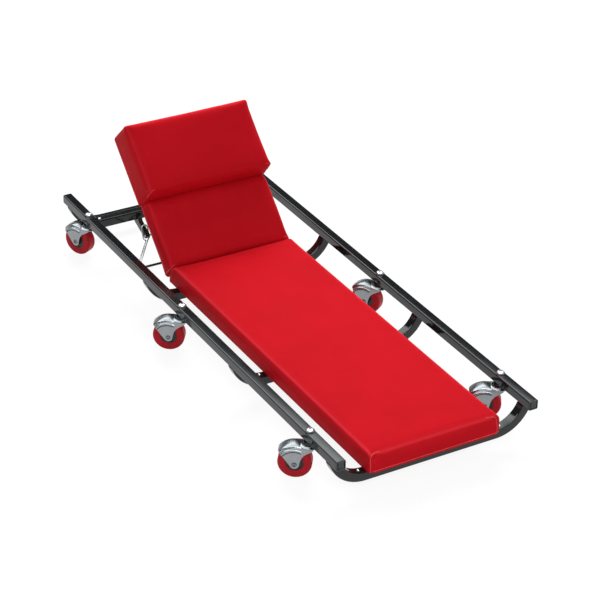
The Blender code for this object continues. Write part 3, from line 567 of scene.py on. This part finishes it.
def wire_copy(node, radius):
    bm = node_copy(node)
    bmesh.ops.join_triangles(bm, faces=bm.faces, angle_face_threshold=ANY_ANGLE,
                             angle_shape_threshold=ANY_ANGLE)
    bm.normal_update()
    for vert in bm.verts:
        vert.co += vert.normal * ROUNDING_LOSS * radius
    return bm


wires = [("tie_rod", black_coat, "frame", "frame_black", WIRE_RADIUS, WIRE_LEVELS),
         ("stay_wire", grey_zinc, "frame", "zinc", 0.0, 0),
         ("prop_wire", dull_zinc, "prop", "zinc", WIRE_RADIUS, WIRE_LEVELS)]
for node, finish, body, slot, radius, levels in wires:
    add_piece(node + "_round", wire_copy(node, radius), finish, body, [node], slot, sharp=SMOOTH_ANGLE,
              levels=levels)
print("wires:", len(wires))

# %% Straps, brackets, hinge and boards
plain = [("prop_strap_left", black_coat, "frame", "frame_black", 0.0006),
         ("prop_strap_right", black_coat, "frame", "frame_black", 0.0006),
         ("slide_bracket_left", black_coat, "head", "frame_black", 0.0003),
         ("slide_bracket_right", black_coat, "head", "frame_black", 0.0003),
         ("hinge_main", zinc, "frame", "zinc", 0.0002),
         ("hinge_head", zinc, "head", "zinc", 0.0002),
         ("main_board", plywood, "frame", "plywood", 0.0008),
         ("head_board", plywood, "head", "plywood", 0.0008)]
for node, finish, body, slot, width in plain:
    add_piece(node + "_broken", soften(merged_copy(node), width), finish, body, [node], slot)
print("flat bar and boards:", len(plain))

# %% Screws and rivets
HEAD_RADIUS = 0.0034
SCREW_RISE, RIVET_RISE = 0.0022, 0.0018
SCREW_LEAN = 0.18
RIVET_INSET, RIVET_SINK = 0.0035, 0.0001


def pan_head(radius, height):
    bm = bmesh.new()
    bmesh.ops.create_uvsphere(bm, u_segments=24, v_segments=12, radius=1.0)
    bmesh.ops.bisect_plane(bm, geom=all_of(bm), plane_co=(0, 0, 0), plane_no=(0, 0, -1), clear_outer=True)
    bmesh.ops.holes_fill(bm, edges=open_edges(bm))
    bmesh.ops.scale(bm, vec=(radius, radius, height), verts=bm.verts)
    return bm


for node in ("screw_foot_left", "screw_foot_right", "screw_mid_foot_left", "screw_mid_foot_right"):
    bm = pan_head(HEAD_RADIUS, SCREW_RISE)
    place = sum(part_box(node), Vector()) / 2 - Vector((0, 0, SCREW_RISE / 2))
    side = 1 if place.x > MIDDLE_X else -1
    bmesh.ops.rotate(bm, verts=bm.verts, cent=(0, 0, 0), matrix=Matrix.Rotation(-side * SCREW_LEAN, 3, "Y"))
    bmesh.ops.translate(bm, verts=bm.verts, vec=place)
    add_piece(node + "_pan", bm, zinc, "frame", [node], "zinc")
bar_low, bar_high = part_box("crossbar")
for label, x in (("left", bar_low.x + RIVET_INSET), ("right", bar_high.x - RIVET_INSET)):
    bm = pan_head(HEAD_RADIUS, RIVET_RISE)
    place = (x, (bar_low.y + bar_high.y) / 2, bar_high.z - RIVET_SINK)
    bmesh.ops.translate(bm, verts=bm.verts, vec=place)
    add_piece("crossbar_rivet_" + label, bm, zinc, "frame", slot="zinc")
print("screws sit on the two bows nearest the foot, rivets on the crossbar")

# %% [markdown]
# ## Casters
# A caster is drawn once in its own frame: the king bolt's axis at the origin, the wheel trailing along
# +X. Turned parts are profiles spun about an axis. The fork is a pressed steel hood over the wheel, two
# flat legs and a raceway, joined with a Boolean union once the legs' edges are bevelled. A black boss
# stands between the raceway and the rail. The frame tells where each caster stands and which way it trails.

# %% Caster sizes
WHEEL_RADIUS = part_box("tyre_foot_left")[1].z / 2
TRAIL = (Vector(joints["roll_foot_left"]["pos_m"]) - Vector(joints["swivel_foot_left"]["pos_m"])).xy.length
RAIL_TOP = rail_high.z
RAIL_BOTTOM = rail_low.z
WHEEL_HALF = 0.0118
LEG_INSIDE, LEG_OUTSIDE = 0.0145, 0.0166
print("wheel", round(WHEEL_RADIUS * 2000, 1), "mm, trail", round(TRAIL * 1000, 1), "mm")

# %% Turned parts
SPIN_MERGE = 0.000005


def spin_profile(profile, steps, closed):
    bm = bmesh.new()
    verts = [bm.verts.new((radius, 0.0, height)) for radius, height in profile]
    edges = [bm.edges.new(pair) for pair in zip(verts, verts[1:])]
    if closed:
        edges.append(bm.edges.new((verts[-1], verts[0])))
    bmesh.ops.spin(bm, geom=verts + edges, cent=(0, 0, 0), axis=(0, 0, 1), angle=2 * math.pi, steps=steps,
                   use_merge=True)
    bmesh.ops.remove_doubles(bm, verts=bm.verts, dist=SPIN_MERGE)
    bmesh.ops.recalc_face_normals(bm, faces=bm.faces)
    return bm


def arc_points(centre, radius, start, end, steps):
    return [(centre[0] + radius * math.cos(math.radians(start + (end - start) * step / steps)),
             centre[1] + radius * math.sin(math.radians(start + (end - start) * step / steps)))
            for step in range(steps + 1)]


def both_sides(half):
    return half + [(radius, -height) for radius, height in reversed(half)]


def on_axle(bm):
    bmesh.ops.rotate(bm, verts=bm.verts, cent=(0, 0, 0), matrix=Matrix.Rotation(math.pi / 2, 3, "X"))
    bmesh.ops.translate(bm, verts=bm.verts, vec=(TRAIL, 0, WHEEL_RADIUS))
    return bm


print("a profile is drawn on one side, mirrored and spun about the axle")

# %% Tyre, hub and axle
TREAD_ROUND = 0.0045
tyre_half = [(0.0161, WHEEL_HALF - 0.0012), (0.0175, WHEEL_HALF - 0.0006), (0.0215, WHEEL_HALF - 0.0003),
             (0.0245, WHEEL_HALF)]
tyre_half += arc_points((WHEEL_RADIUS - TREAD_ROUND, WHEEL_HALF - TREAD_ROUND), TREAD_ROUND, 75, 10, 6)
tyre_half += [(WHEEL_RADIUS, WHEEL_HALF - TREAD_ROUND - 0.001)]
hub_half = [(0.0045, 0.0140), (0.0074, 0.0140), (0.0080, 0.0136), (0.0090, 0.0079), (0.0098, 0.0076),
            (0.0126, 0.0076), (0.0134, 0.0080), (0.0139, 0.0100), (0.0145, 0.0102), (0.0155, 0.0102)]
axle_half = [(0.0, 0.0173), (0.0015, 0.0173), (0.0018, 0.0181), (0.0024, 0.0184), (0.0036, 0.0182),
             (0.0046, 0.0176), (0.0049, 0.0169), (0.0039, 0.0169)]
tyre_bm = on_axle(spin_profile(both_sides(tyre_half), 72, True))
hub_bm = on_axle(spin_profile(both_sides(hub_half), 48, True))
axle_bm = on_axle(spin_profile(both_sides(axle_half), 32, False))
print("tyre has", len(tyre_bm.faces), "faces")

# %% [markdown]
# The king bolt has a domed head with a hexagon socket. The socket's mouth is the dome's open rim: it is
# extruded inwards onto a hexagon, which is extruded down and filled. A black washer lies under the head:
# its dark ring is painted shade, for the shadow and dark reflection round the head's rim. A nut closes
# the bolt below the rail.

# %% King bolt
SOCKET_HALF = 0.0026
SOCKET_TOP, SOCKET_DEPTH = RAIL_TOP + 0.0048, 0.0030
NUT_RADIUS, NUT_DEPTH, NUT_MIDDLE = 0.0065, 0.0054, RAIL_BOTTOM - 0.0137
BROKEN_EDGE = 0.0005


def king_bolt():
    dome = [(0.0029, RAIL_TOP + 0.0053), (0.0044, RAIL_TOP + 0.0051), (0.0057, RAIL_TOP + 0.0044),
            (0.0067, RAIL_TOP + 0.0033), (0.0072, RAIL_TOP + 0.0022), (0.0073, RAIL_TOP + 0.0013),
            (0.0040, RAIL_TOP + 0.0013), (0.0040, RAIL_BOTTOM - 0.0175), (0.0029, RAIL_BOTTOM - 0.0175)]
    bm = spin_profile(dome, 48, False)
    mouth = [edge for edge in open_edges(bm) if edge.verts[0].co.z > RAIL_TOP]
    inwards = bmesh.ops.extrude_edge_only(bm, edges=mouth)["geom"]
    for vert in verts_in(inwards):
        angle = math.atan2(vert.co.y, vert.co.x)
        flat = SOCKET_HALF / math.cos((angle + math.pi / 6) % (math.pi / 3) - math.pi / 6)
        vert.co = (flat * math.cos(angle), flat * math.sin(angle), SOCKET_TOP)
    hexagon = [edge for edge in open_edges(bm) if edge.verts[0].co.z > RAIL_TOP]
    downwards = bmesh.ops.extrude_edge_only(bm, edges=hexagon)["geom"]
    bmesh.ops.translate(bm, verts=verts_in(downwards), vec=(0, 0, -SOCKET_DEPTH))
    bmesh.ops.holes_fill(bm, edges=open_edges(bm))
    return bm


def king_nut():
    bm = bmesh.new()
    bmesh.ops.create_cone(bm, cap_ends=True, segments=6, radius1=NUT_RADIUS, radius2=NUT_RADIUS,
                          depth=NUT_DEPTH, matrix=Matrix.Translation((0, 0, NUT_MIDDLE)))
    return soften(bm, BROKEN_EDGE)


# Painted shade: a black ring round the bolt head, standing for the shadow and dark reflection at the head's
# rim.
def bolt_shade_washer():
    profile = [(0.0042, RAIL_TOP + 0.0003), (0.0088, RAIL_TOP + 0.0003), (0.0090, RAIL_TOP + 0.0006),
               (0.0087, RAIL_TOP + 0.0011), (0.0042, RAIL_TOP + 0.0012)]
    return spin_profile(profile, 40, True)


bolt_bm = king_bolt()
shade_washer_bm = bolt_shade_washer()
nut_bm = king_nut()
print("king bolt has", len(bolt_bm.faces), "faces")

# %% [markdown]
# The hood's cross-section is a shallow dome with a rolled skirt on each side. It is spun about the axle,
# from low behind the wheel to the raceway. The legs are flat plates with a round end at the axle. Where
# hood and leg meet, a thin black strip under the rim is painted shade for the shadow under the rim's lip.
# The strip is spun the same way.

# %% Hood and rim
HOOD_HALF = 0.0183
HOOD_INSIDE = WHEEL_RADIUS + 0.0033
HOOD_BACK, HOOD_FRONT = math.radians(51), math.radians(24.8)
HOOD_STEPS = 24


def over_wheel(bm, section):
    verts = [bm.verts.new((0.0, across, up)) for across, up in section]
    edges = [bm.edges.new(pair) for pair in zip(verts, verts[1:] + verts[:1])]
    bmesh.ops.rotate(bm, verts=verts, cent=(0, 0, 0), matrix=Matrix.Rotation(HOOD_BACK, 3, "Y"))
    bmesh.ops.spin(bm, geom=verts + edges, cent=(0, 0, 0), axis=(0, -1, 0), angle=HOOD_BACK + HOOD_FRONT,
                   steps=HOOD_STEPS)


def close_ends(bm):
    bmesh.ops.holes_fill(bm, edges=open_edges(bm))
    bmesh.ops.recalc_face_normals(bm, faces=bm.faces)
    bmesh.ops.translate(bm, verts=bm.verts, vec=(TRAIL, 0, WHEEL_RADIUS))
    return bm


def hood():
    skirt = ((0.0, -0.0058), (0.0, -0.0036), (0.0004, -0.0028), (0.0012, -0.0022), (0.0034, -0.0014),
             (0.0040, -0.0006), (0.0046, 0.0012), (0.0056, 0.0024), (0.0074, 0.0033), (0.0105, 0.0039),
             (0.0145, 0.0042))
    outer = [(HOOD_HALF - inset, up) for inset, up in skirt] + [(0.0, 0.0042)]
    inner = [(0.0, 0.0002), (0.0080, 0.0), (0.0115, -0.0010), (0.0140, -0.0030), (0.0163, -0.0058)]
    section = outer + [(-across, up) for across, up in reversed(outer[:-1])]
    section += [(-across, up) for across, up in reversed(inner)] + inner[1:]
    bm = bmesh.new()
    over_wheel(bm, [(across, HOOD_INSIDE + up) for across, up in section])
    return close_ends(bm)


# Painted shade: thin black strips under the hood's rim, where only the rim's shadow falls.
def rim_shadow_strips():
    low, high = HOOD_INSIDE - 0.0080, HOOD_INSIDE - 0.0056
    near, far = LEG_OUTSIDE - 0.0006, LEG_OUTSIDE + 0.0013
    bm = bmesh.new()
    for side in (-1, 1):
        over_wheel(bm, [(side * near, low), (side * far, low), (side * far, high), (side * near, high)])
    return close_ends(bm)


shadow_strip_bm = rim_shadow_strips()
print("hood turns", round(math.degrees(HOOD_BACK + HOOD_FRONT), 1), "degrees round the wheel")

# %% Legs, raceway and boss
LEG_ROUND = 0.0085
LEG_BEVEL_FROM = 60.0


def leg(side):
    outline = arc_points((TRAIL, WHEEL_RADIUS), LEG_ROUND, 200, 320, 14)
    outline += [(TRAIL + 0.0262, WHEEL_RADIUS + 0.0215), (TRAIL + 0.0180, WHEEL_RADIUS + 0.0290)]
    outline += [(TRAIL, WHEEL_RADIUS + 0.0345), (-0.0080, 2 * WHEEL_RADIUS + 0.0041)]
    outline += [(-0.0080, 2 * WHEEL_RADIUS + 0.0006), (-0.0020, WHEEL_RADIUS + 0.0272)]
    outline += [(0.0040, WHEEL_RADIUS + 0.0236), (0.0085, WHEEL_RADIUS + 0.0198)]
    outline += [(0.0122, WHEEL_RADIUS + 0.0148), (0.0152, WHEEL_RADIUS + 0.0065)]
    bm = bmesh.new()
    face = bm.faces.new([bm.verts.new((x, side * LEG_INSIDE, z)) for x, z in outline])
    stretch(bm, face, (0, side * (LEG_OUTSIDE - LEG_INSIDE), 0))
    bmesh.ops.recalc_face_normals(bm, faces=bm.faces)
    return soften(bm, BROKEN_EDGE, angle=LEG_BEVEL_FROM)


def raceway():
    low = 2 * WHEEL_RADIUS + 0.0026
    profile = [(0.0046, low), (0.0178, low), (0.0187, low + 0.0006), (0.0191, low + 0.0016)]
    profile += [(0.0187, low + 0.0026), (0.0172, low + 0.0034), (0.0150, low + 0.0044)]
    profile += [(0.0146, low + 0.0052), (0.0046, low + 0.0054)]
    return spin_profile(profile, 48, True)


def stem_boss():
    low = 2 * WHEEL_RADIUS + 0.0081
    profile = [(0.0046, low), (0.0123, low), (0.0125, low + 0.0004), (0.0117, RAIL_BOTTOM - 0.0012),
               (0.0113, RAIL_BOTTOM - 0.0008), (0.0046, RAIL_BOTTOM - 0.0008)]
    return spin_profile(profile, 40, True)


boss_bm = stem_boss()
print("boss has", len(boss_bm.faces), "faces")


# %% Join the fork
def union(shapes):
    holders = []
    for bm in shapes:
        mesh = bpy.data.meshes.new("fork_shape")
        bm.to_mesh(mesh)
        bm.free()
        holders.append(bpy.data.objects.new("fork_shape", mesh))
        bpy.context.scene.collection.objects.link(holders[-1])
    for tool in holders[1:]:
        join = holders[0].modifiers.new("join", "BOOLEAN")
        join.solver = "EXACT"
        join.operation = "UNION"
        join.object = tool
    graph = bpy.context.evaluated_depsgraph_get()
    mesh = bpy.data.meshes.new_from_object(holders[0].evaluated_get(graph))
    for holder in holders:
        bpy.data.objects.remove(holder)
    bm = bmesh.new()
    bm.from_mesh(mesh)
    return bm


fork_bm = union([hood(), leg(-1), leg(1), raceway()])
print("fork has", len(fork_bm.faces), "faces")

# %% [markdown]
# Each caster is now stood in its place. The swivel joint gives the king bolt's axis and the roll joint
# the wheel's centre, so the turn is the direction from one to the other.

# %% Stand the casters in place
CASTERS = ("foot_left", "middle_left", "head_left", "foot_right", "middle_right", "head_right")
CASTER_SHARP = 32.0
for name in CASTERS:
    swivel = Vector(joints["swivel_" + name]["pos_m"])
    trail = Vector(joints["roll_" + name]["pos_m"]) - swivel
    turn = Matrix.Rotation(math.atan2(trail.y, trail.x), 4, "Z")
    stand = Matrix.Translation((swivel.x, swivel.y, 0)) @ turn
    for label, shape, finish, body, nodes, slot in (
            ("king_bolt_", bolt_bm, zinc, "frame", ["bolt_" + name], "zinc"),
            # black washer ring, painted shade round the bolt head
            ("bolt_shade_washer_", shade_washer_bm, hub_plastic_and_shade, "frame", [], "frame_black"),
            ("king_nut_", nut_bm, zinc, "frame", [], "zinc"),
            ("stem_boss_", boss_bm, black_coat, "frame", [], "frame_black"),
            ("caster_fork_", fork_bm, chrome, "caster_" + name, ["fork_" + name], "chrome"),
            # painted shade strips under the hood's rim
            ("rim_shadow_strip_", shadow_strip_bm, hub_plastic_and_shade, "caster_" + name, [], "hub_black"),
            ("caster_axle_", axle_bm, axle_steel, "caster_" + name, ["axle_" + name], "zinc"),
            ("caster_hub_", hub_bm, hub_plastic_and_shade, "wheel_" + name, ["hub_" + name], "hub_black"),
            ("caster_tyre_", tyre_bm, tyre_red, "wheel_" + name, ["tyre_" + name], "tyre_red")):
        bm = shape.copy()
        bmesh.ops.transform(bm, matrix=stand, verts=bm.verts)
        add_piece(label + name, bm, finish, body, nodes, slot, sharp=CASTER_SHARP)
print("casters:", len(CASTERS))

# %% [markdown]
# ## Pads
# Each pad is foam on a board, wrapped in vinyl that is pulled tight and stapled underneath. The shape is
# remeshed into even quads, and a cloth simulation with a little pressure swells it, so that the faces
# crown and the sides fill out while the underside is held. The foam under the cover is firm, so the more a
# point wants to move, the harder it is held back, and none moves further than a set swell.

# %% Swell a pad
PAD_VOXEL = 0.0032
PAD_PRESSURE = 3.0
PAD_SWELL = 0.0016
PAD_FRAMES = 14
BOARD_DEPTH = 0.011


def remeshed(bm, voxel):
    mesh = bpy.data.meshes.new("pad_shape")
    bm.to_mesh(mesh)
    bm.free()
    holder = bpy.data.objects.new("pad_shape", mesh)
    bpy.context.scene.collection.objects.link(holder)
    even = holder.modifiers.new("even", "REMESH")
    even.mode = "VOXEL"
    even.voxel_size = voxel
    graph = bpy.context.evaluated_depsgraph_get()
    result = bpy.data.meshes.new_from_object(holder.evaluated_get(graph))
    bpy.data.objects.remove(holder)
    return result


def swell(mesh, held_below):
    holder = bpy.data.objects.new("pad_swell", mesh)
    bpy.context.scene.collection.objects.link(holder)
    group = holder.vertex_groups.new(name="held")
    group.add([vert.index for vert in mesh.vertices if vert.co.z < held_below], 1.0, "REPLACE")
    cloth = holder.modifiers.new("cloth", "CLOTH")
    cloth.settings.use_pressure = True
    cloth.settings.uniform_pressure_force = PAD_PRESSURE
    cloth.settings.effector_weights.gravity = 0.0
    cloth.settings.vertex_group_mass = "held"
    cloth.settings.tension_stiffness = 40.0
    cloth.settings.compression_stiffness = 40.0
    cloth.settings.shear_stiffness = 20.0
    cloth.settings.bending_stiffness = 2.0
    cloth.point_cache.frame_start = 1
    cloth.point_cache.frame_end = PAD_FRAMES
    for step in range(1, PAD_FRAMES + 1):
        bpy.context.scene.frame_set(step)
    graph = bpy.context.evaluated_depsgraph_get()
    swollen = holder.evaluated_get(graph).to_mesh()
    shifts = [after.co - vert.co for vert, after in zip(mesh.vertices, swollen.vertices)]
    for vert, shift in zip(mesh.vertices, shifts):
        vert.co += shift * PAD_SWELL / (PAD_SWELL + shift.length)
    holder.evaluated_get(graph).to_mesh_clear()
    bpy.data.objects.remove(holder)
    bpy.context.scene.frame_set(1)
    lengths = sorted(shift.length for shift in shifts)
    middle = round(lengths[len(lengths) // 2] * 1000, 1)
    print("cloth pulls", len(lengths), "points, half of them by over", middle, "mm and at most",
          round(lengths[-1] * 1000, 1), "mm, before the foam holds it back")


print("no point of a pad swells further than", PAD_SWELL * 1000, "mm")

# %% [markdown]
# A pad is worked on lying flat: x from its centre line, y from its lower end, z up from the board's back.
# The headrest is one cover over two foam blocks, a low one and a thick pillow. It is cut in two where they
# meet, so each half swells by itself and the seam between them stays a sharp valley.


# %% Flat copies of the pads
def flat_copy(node, to_flat):
    bm = bmesh.new()
    bm.from_mesh(frame["nodes"][node].data)
    bmesh.ops.transform(bm, matrix=to_flat, verts=bm.verts)
    bmesh.ops.remove_doubles(bm, verts=bm.verts, dist=MERGE_DISTANCE)
    return bm


def half_of(bm, valley, keep_low):
    part = bm.copy()
    bmesh.ops.bisect_plane(part, geom=all_of(part), plane_co=(0, valley, 0), plane_no=(0, 1, 0),
                           clear_outer=keep_low, clear_inner=not keep_low)
    bmesh.ops.triangle_fill(part, use_beauty=True, edges=open_edges(part))
    return part


def swollen_pad(bm):
    mesh = remeshed(bm, PAD_VOXEL)
    swell(mesh, min(vert.co.z for vert in mesh.vertices) + BOARD_DEPTH)
    return mesh


hinge = Vector(joints["head_tilt"]["pos_m"])
HEAD_ANGLE = math.radians(43.0)
main_low, main_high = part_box("main_pad")
main_to_flat = Matrix.Translation((-MIDDLE_X, -main_low.y, -main_low.z))
head_to_flat = Matrix.Rotation(-HEAD_ANGLE, 4, "X") @ Matrix.Translation((-MIDDLE_X, -hinge.y, -hinge.z))
head_flat = flat_copy("head_pad", head_to_flat)
PILLOW_START = 0.1605
main_mesh = swollen_pad(flat_copy("main_pad", main_to_flat))
lower_mesh = swollen_pad(half_of(head_flat, PILLOW_START, True))
pillow_mesh = swollen_pad(half_of(head_flat, PILLOW_START, False))
print("deck, lower block and pillow have", len(main_mesh.vertices), len(lower_mesh.vertices), "and",
      len(pillow_mesh.vertices), "points")

# %% [markdown]
# Vinyl is folded at the corners before it is stapled, so a corner sticks out as a small ear. The deck's
# foot corners have a dimple beside the ear, and one soft fold runs in over the foam from the headrest's
# lower right corner. Each is a smooth push on the points near one place, or near one line, that fades out
# with distance. The points that lean halfway between the top and a side lie on a rounded edge, and are
# marked there for a painted highlight that makes the vinyl paler.


# %% Ways to shape a cover
def fill_out(mesh, fullness, start, longer):
    for vert in mesh.vertices:
        vert.co.x *= fullness
        vert.co.y = start + (vert.co.y - start) * longer


def push(mesh, at, towards, reach, radius):
    centre = Vector(at)
    pull = Vector(towards).normalized() * reach
    for vert in mesh.vertices:
        vert.co += pull * math.exp(-((vert.co - centre).length / radius) ** 2)


def fold(mesh, start, end, depth, width):
    start, run = Vector(start), Vector(end) - Vector(start)
    for vert in mesh.vertices:
        along = min(1.0, max(0.0, (vert.co - start).dot(run) / run.length_squared))
        gap = (vert.co - start - run * along).length
        vert.co.z -= depth * (1.0 - along) * math.exp(-(gap / width) ** 2)


EDGE_LEAN, EDGE_SPREAD = math.radians(42.0), math.radians(17.0)


# Painted highlight: each point gets a share that peaks where the cover leans off its top over a rounded
# edge.
def mark_edge_highlight(mesh, sides, low_end, high_end):
    highlight_share = mesh.attributes.new("painted_edge_highlight", "FLOAT", "POINT")
    for vert, value in zip(mesh.vertices, highlight_share.data):
        lean = vert.normal.angle(Vector((0, 0, 1)), 0.0)
        out_x, out_y = vert.normal.xy.normalized()
        share = sides * abs(out_x) + low_end * max(0.0, -out_y) + high_end * max(0.0, out_y)
        value.value = min(1.0, share) * math.exp(-((lean - EDGE_LEAN) / EDGE_SPREAD) ** 2)


print("edges are marked where the cover leans", round(math.degrees(EDGE_LEAN)), "degrees from its top")

# %% Corners, fold and edges
LOWER_FULLNESS, LOWER_STRETCH = 1.004, 1.030
PILLOW_FULLNESS, PILLOW_STRETCH = 1.026, 1.030
PAD_HALF = (main_high.x - main_low.x) / 2
main_end = main_high.y - main_low.y
main_top = max(vert.co.z for vert in main_mesh.vertices)
pillow_top = max(vert.co.z for vert in pillow_mesh.vertices)
lower_top = max(vert.co.z for vert in lower_mesh.vertices)
pillow_end = max(vert.co.y for vert in pillow_mesh.vertices)
lower_end = min(vert.co.y for vert in lower_mesh.vertices)
fill_out(lower_mesh, LOWER_FULLNESS, lower_end, LOWER_STRETCH)
fill_out(pillow_mesh, PILLOW_FULLNESS, PILLOW_START, PILLOW_STRETCH)
for side in (-1, 1):
    edge = side * PAD_HALF
    push(pillow_mesh, at=(edge, PILLOW_START + 0.002, pillow_top - 0.008), towards=(side, -0.5, 0.0),
         reach=0.007, radius=0.008)
    push(pillow_mesh, at=(edge, pillow_end, pillow_top - 0.006), towards=(side, 0.4, 0.2),
         reach=0.003, radius=0.012)
    push(lower_mesh, at=(edge, lower_end, lower_top - 0.010), towards=(0.7 * side, -1.0, -0.1),
         reach=0.009, radius=0.011)
    push(lower_mesh, at=(edge, lower_end, 0.006), towards=(0.2 * side, -1.0, 0.0),
         reach=0.010, radius=0.015)
    push(main_mesh, at=(edge, main_end, main_top - 0.016), towards=(0.5 * side, 1.0, 0.0),
         reach=0.011, radius=0.016)
    push(main_mesh, at=(edge, 0.0, main_top - 0.012), towards=(side, -0.4, 0.0),
         reach=0.003, radius=0.010)
    push(main_mesh, at=(edge - 0.011 * side, 0.0, main_top - 0.015), towards=(0.0, 1.0, 0.0),
         reach=0.0045, radius=0.007)
fold(lower_mesh, start=(PAD_HALF - 0.012, lower_end + 0.006, lower_top),
     end=(PAD_HALF - 0.030, lower_end + 0.060, lower_top), depth=0.0055, width=0.024)
# Painted edge highlight: strongest on the deck's sides, weaker on its ends and on the headrest.
mark_edge_highlight(main_mesh, sides=1.0, low_end=0.8, high_end=0.4)
mark_edge_highlight(lower_mesh, sides=0.35, low_end=0.0, high_end=0.0)
mark_edge_highlight(pillow_mesh, sides=0.35, low_end=0.0, high_end=0.5)
print("pillow stands", round(pillow_top * 1000, 1), "mm above the back of its board")

# %% [markdown]
# A bead of welded vinyl runs up each corner and a little way along the top edge, and others along the
# hems. It is a curve with a round bevel, and each of its points is dropped on the nearest place of the
# cover, so it follows every bulge. Its paler red is painted highlight, for the light that the fold
# catches. A corner's bead has five points, each given by how far in from the corner, how far in from the
# pad's end and how high it lies.

# %% Beads
BEAD_RADIUS = 0.0008
BEAD_PROUD = 0.3
BEAD_STEPS, HEM_STEPS = 6, 8


def corner_bead(corner, end, inward, low, high, run):
    side = math.copysign(1.0, corner)
    climb = ((0.0, 0.0, low), (0.0, 0.0, high - 0.019), (0.002, 0.0005, high - 0.009),
             (run / 2, 0.002, high - 0.0025), (run, 0.003, high - 0.0005))
    return [Vector((corner - side * x, end + inward * y, z)) for x, y, z in climb]


def hem_bead(start, end):
    return [Vector(start).lerp(Vector(end), step / HEM_STEPS) for step in range(HEM_STEPS + 1)]


def laid_on(skin, corners):
    laid = []
    for start, stop in zip(corners, corners[1:]):
        laid += [start.lerp(stop, step / BEAD_STEPS) for step in range(BEAD_STEPS)]
    for point in laid + [corners[-1]]:
        place, normal = skin.find_nearest(point)[:2]
        yield place + normal * BEAD_RADIUS * BEAD_PROUD


def add_beads(name, skin, paths, from_flat, body):
    curve = bpy.data.curves.new(name, "CURVE")
    curve.dimensions = "3D"
    curve.bevel_depth = BEAD_RADIUS
    curve.bevel_resolution = 2
    curve.use_fill_caps = True
    curve.materials.append(bead_highlight_vinyl)
    for path in paths:
        points = [from_flat @ point for point in laid_on(skin, path)]
        spline = curve.splines.new("POLY")
        spline.points.add(len(points) - 1)
        for knot, point in zip(spline.points, points):
            knot.co = (*point, 1.0)
    beads = bpy.data.objects.new(name, curve)
    bpy.context.scene.collection.objects.link(beads)
    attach(beads, body)


print("beads are", BEAD_RADIUS * 2000, "mm thick")

# %% Covers
SMOOTH_TURNS, SMOOTH_SHARE = 3, 0.4


def add_pad(node, meshes, to_flat, body, beads):
    bm = bmesh.new()
    for mesh in meshes:
        bm.from_mesh(mesh)
    for turn in range(SMOOTH_TURNS):
        bmesh.ops.smooth_vert(bm, verts=bm.verts, factor=SMOOTH_SHARE, use_axis_x=True, use_axis_y=True,
                              use_axis_z=True)
    skin = BVHTree.FromBMesh(bm)
    add_beads(node + "_beads", skin, beads, to_flat.inverted(), body)
    bmesh.ops.transform(bm, matrix=to_flat.inverted(), verts=bm.verts)
    cover = add_piece(node + "_cover", bm, vinyl, body, [node], "red_vinyl", sharp=180.0)
    print(node, "cover has", len(cover.data.polygons), "faces and", len(beads), "beads")


main_beads = [corner_bead(0.002 - PAD_HALF, 0.0, inward=1, low=0.002, high=main_top, run=0.022),
              corner_bead(PAD_HALF - 0.009, 0.0, inward=1, low=0.002, high=main_top, run=0.022),
              hem_bead((0.006 - PAD_HALF, 0.0, 0.0045), (PAD_HALF - 0.006, 0.0, 0.0045))]
head_beads = []
for edge in (-PAD_HALF, PAD_HALF):
    main_beads += [corner_bead(edge, main_end, inward=-1, low=0.002, high=main_top, run=0.012)]
    head_beads += [corner_bead(edge, lower_end, inward=1, low=0.010, high=lower_top, run=0.012),
                   corner_bead(edge, PILLOW_START + 0.001, inward=1, low=lower_top + 0.006, high=pillow_top,
                               run=0.012),
                   hem_bead((edge, lower_end + 0.006, 0.009), (edge, pillow_end - 0.006, 0.009))]
add_pad("main_pad", [main_mesh], main_to_flat, "frame", main_beads)
add_pad("head_pad", [lower_mesh, pillow_mesh], head_to_flat, "head", head_beads)
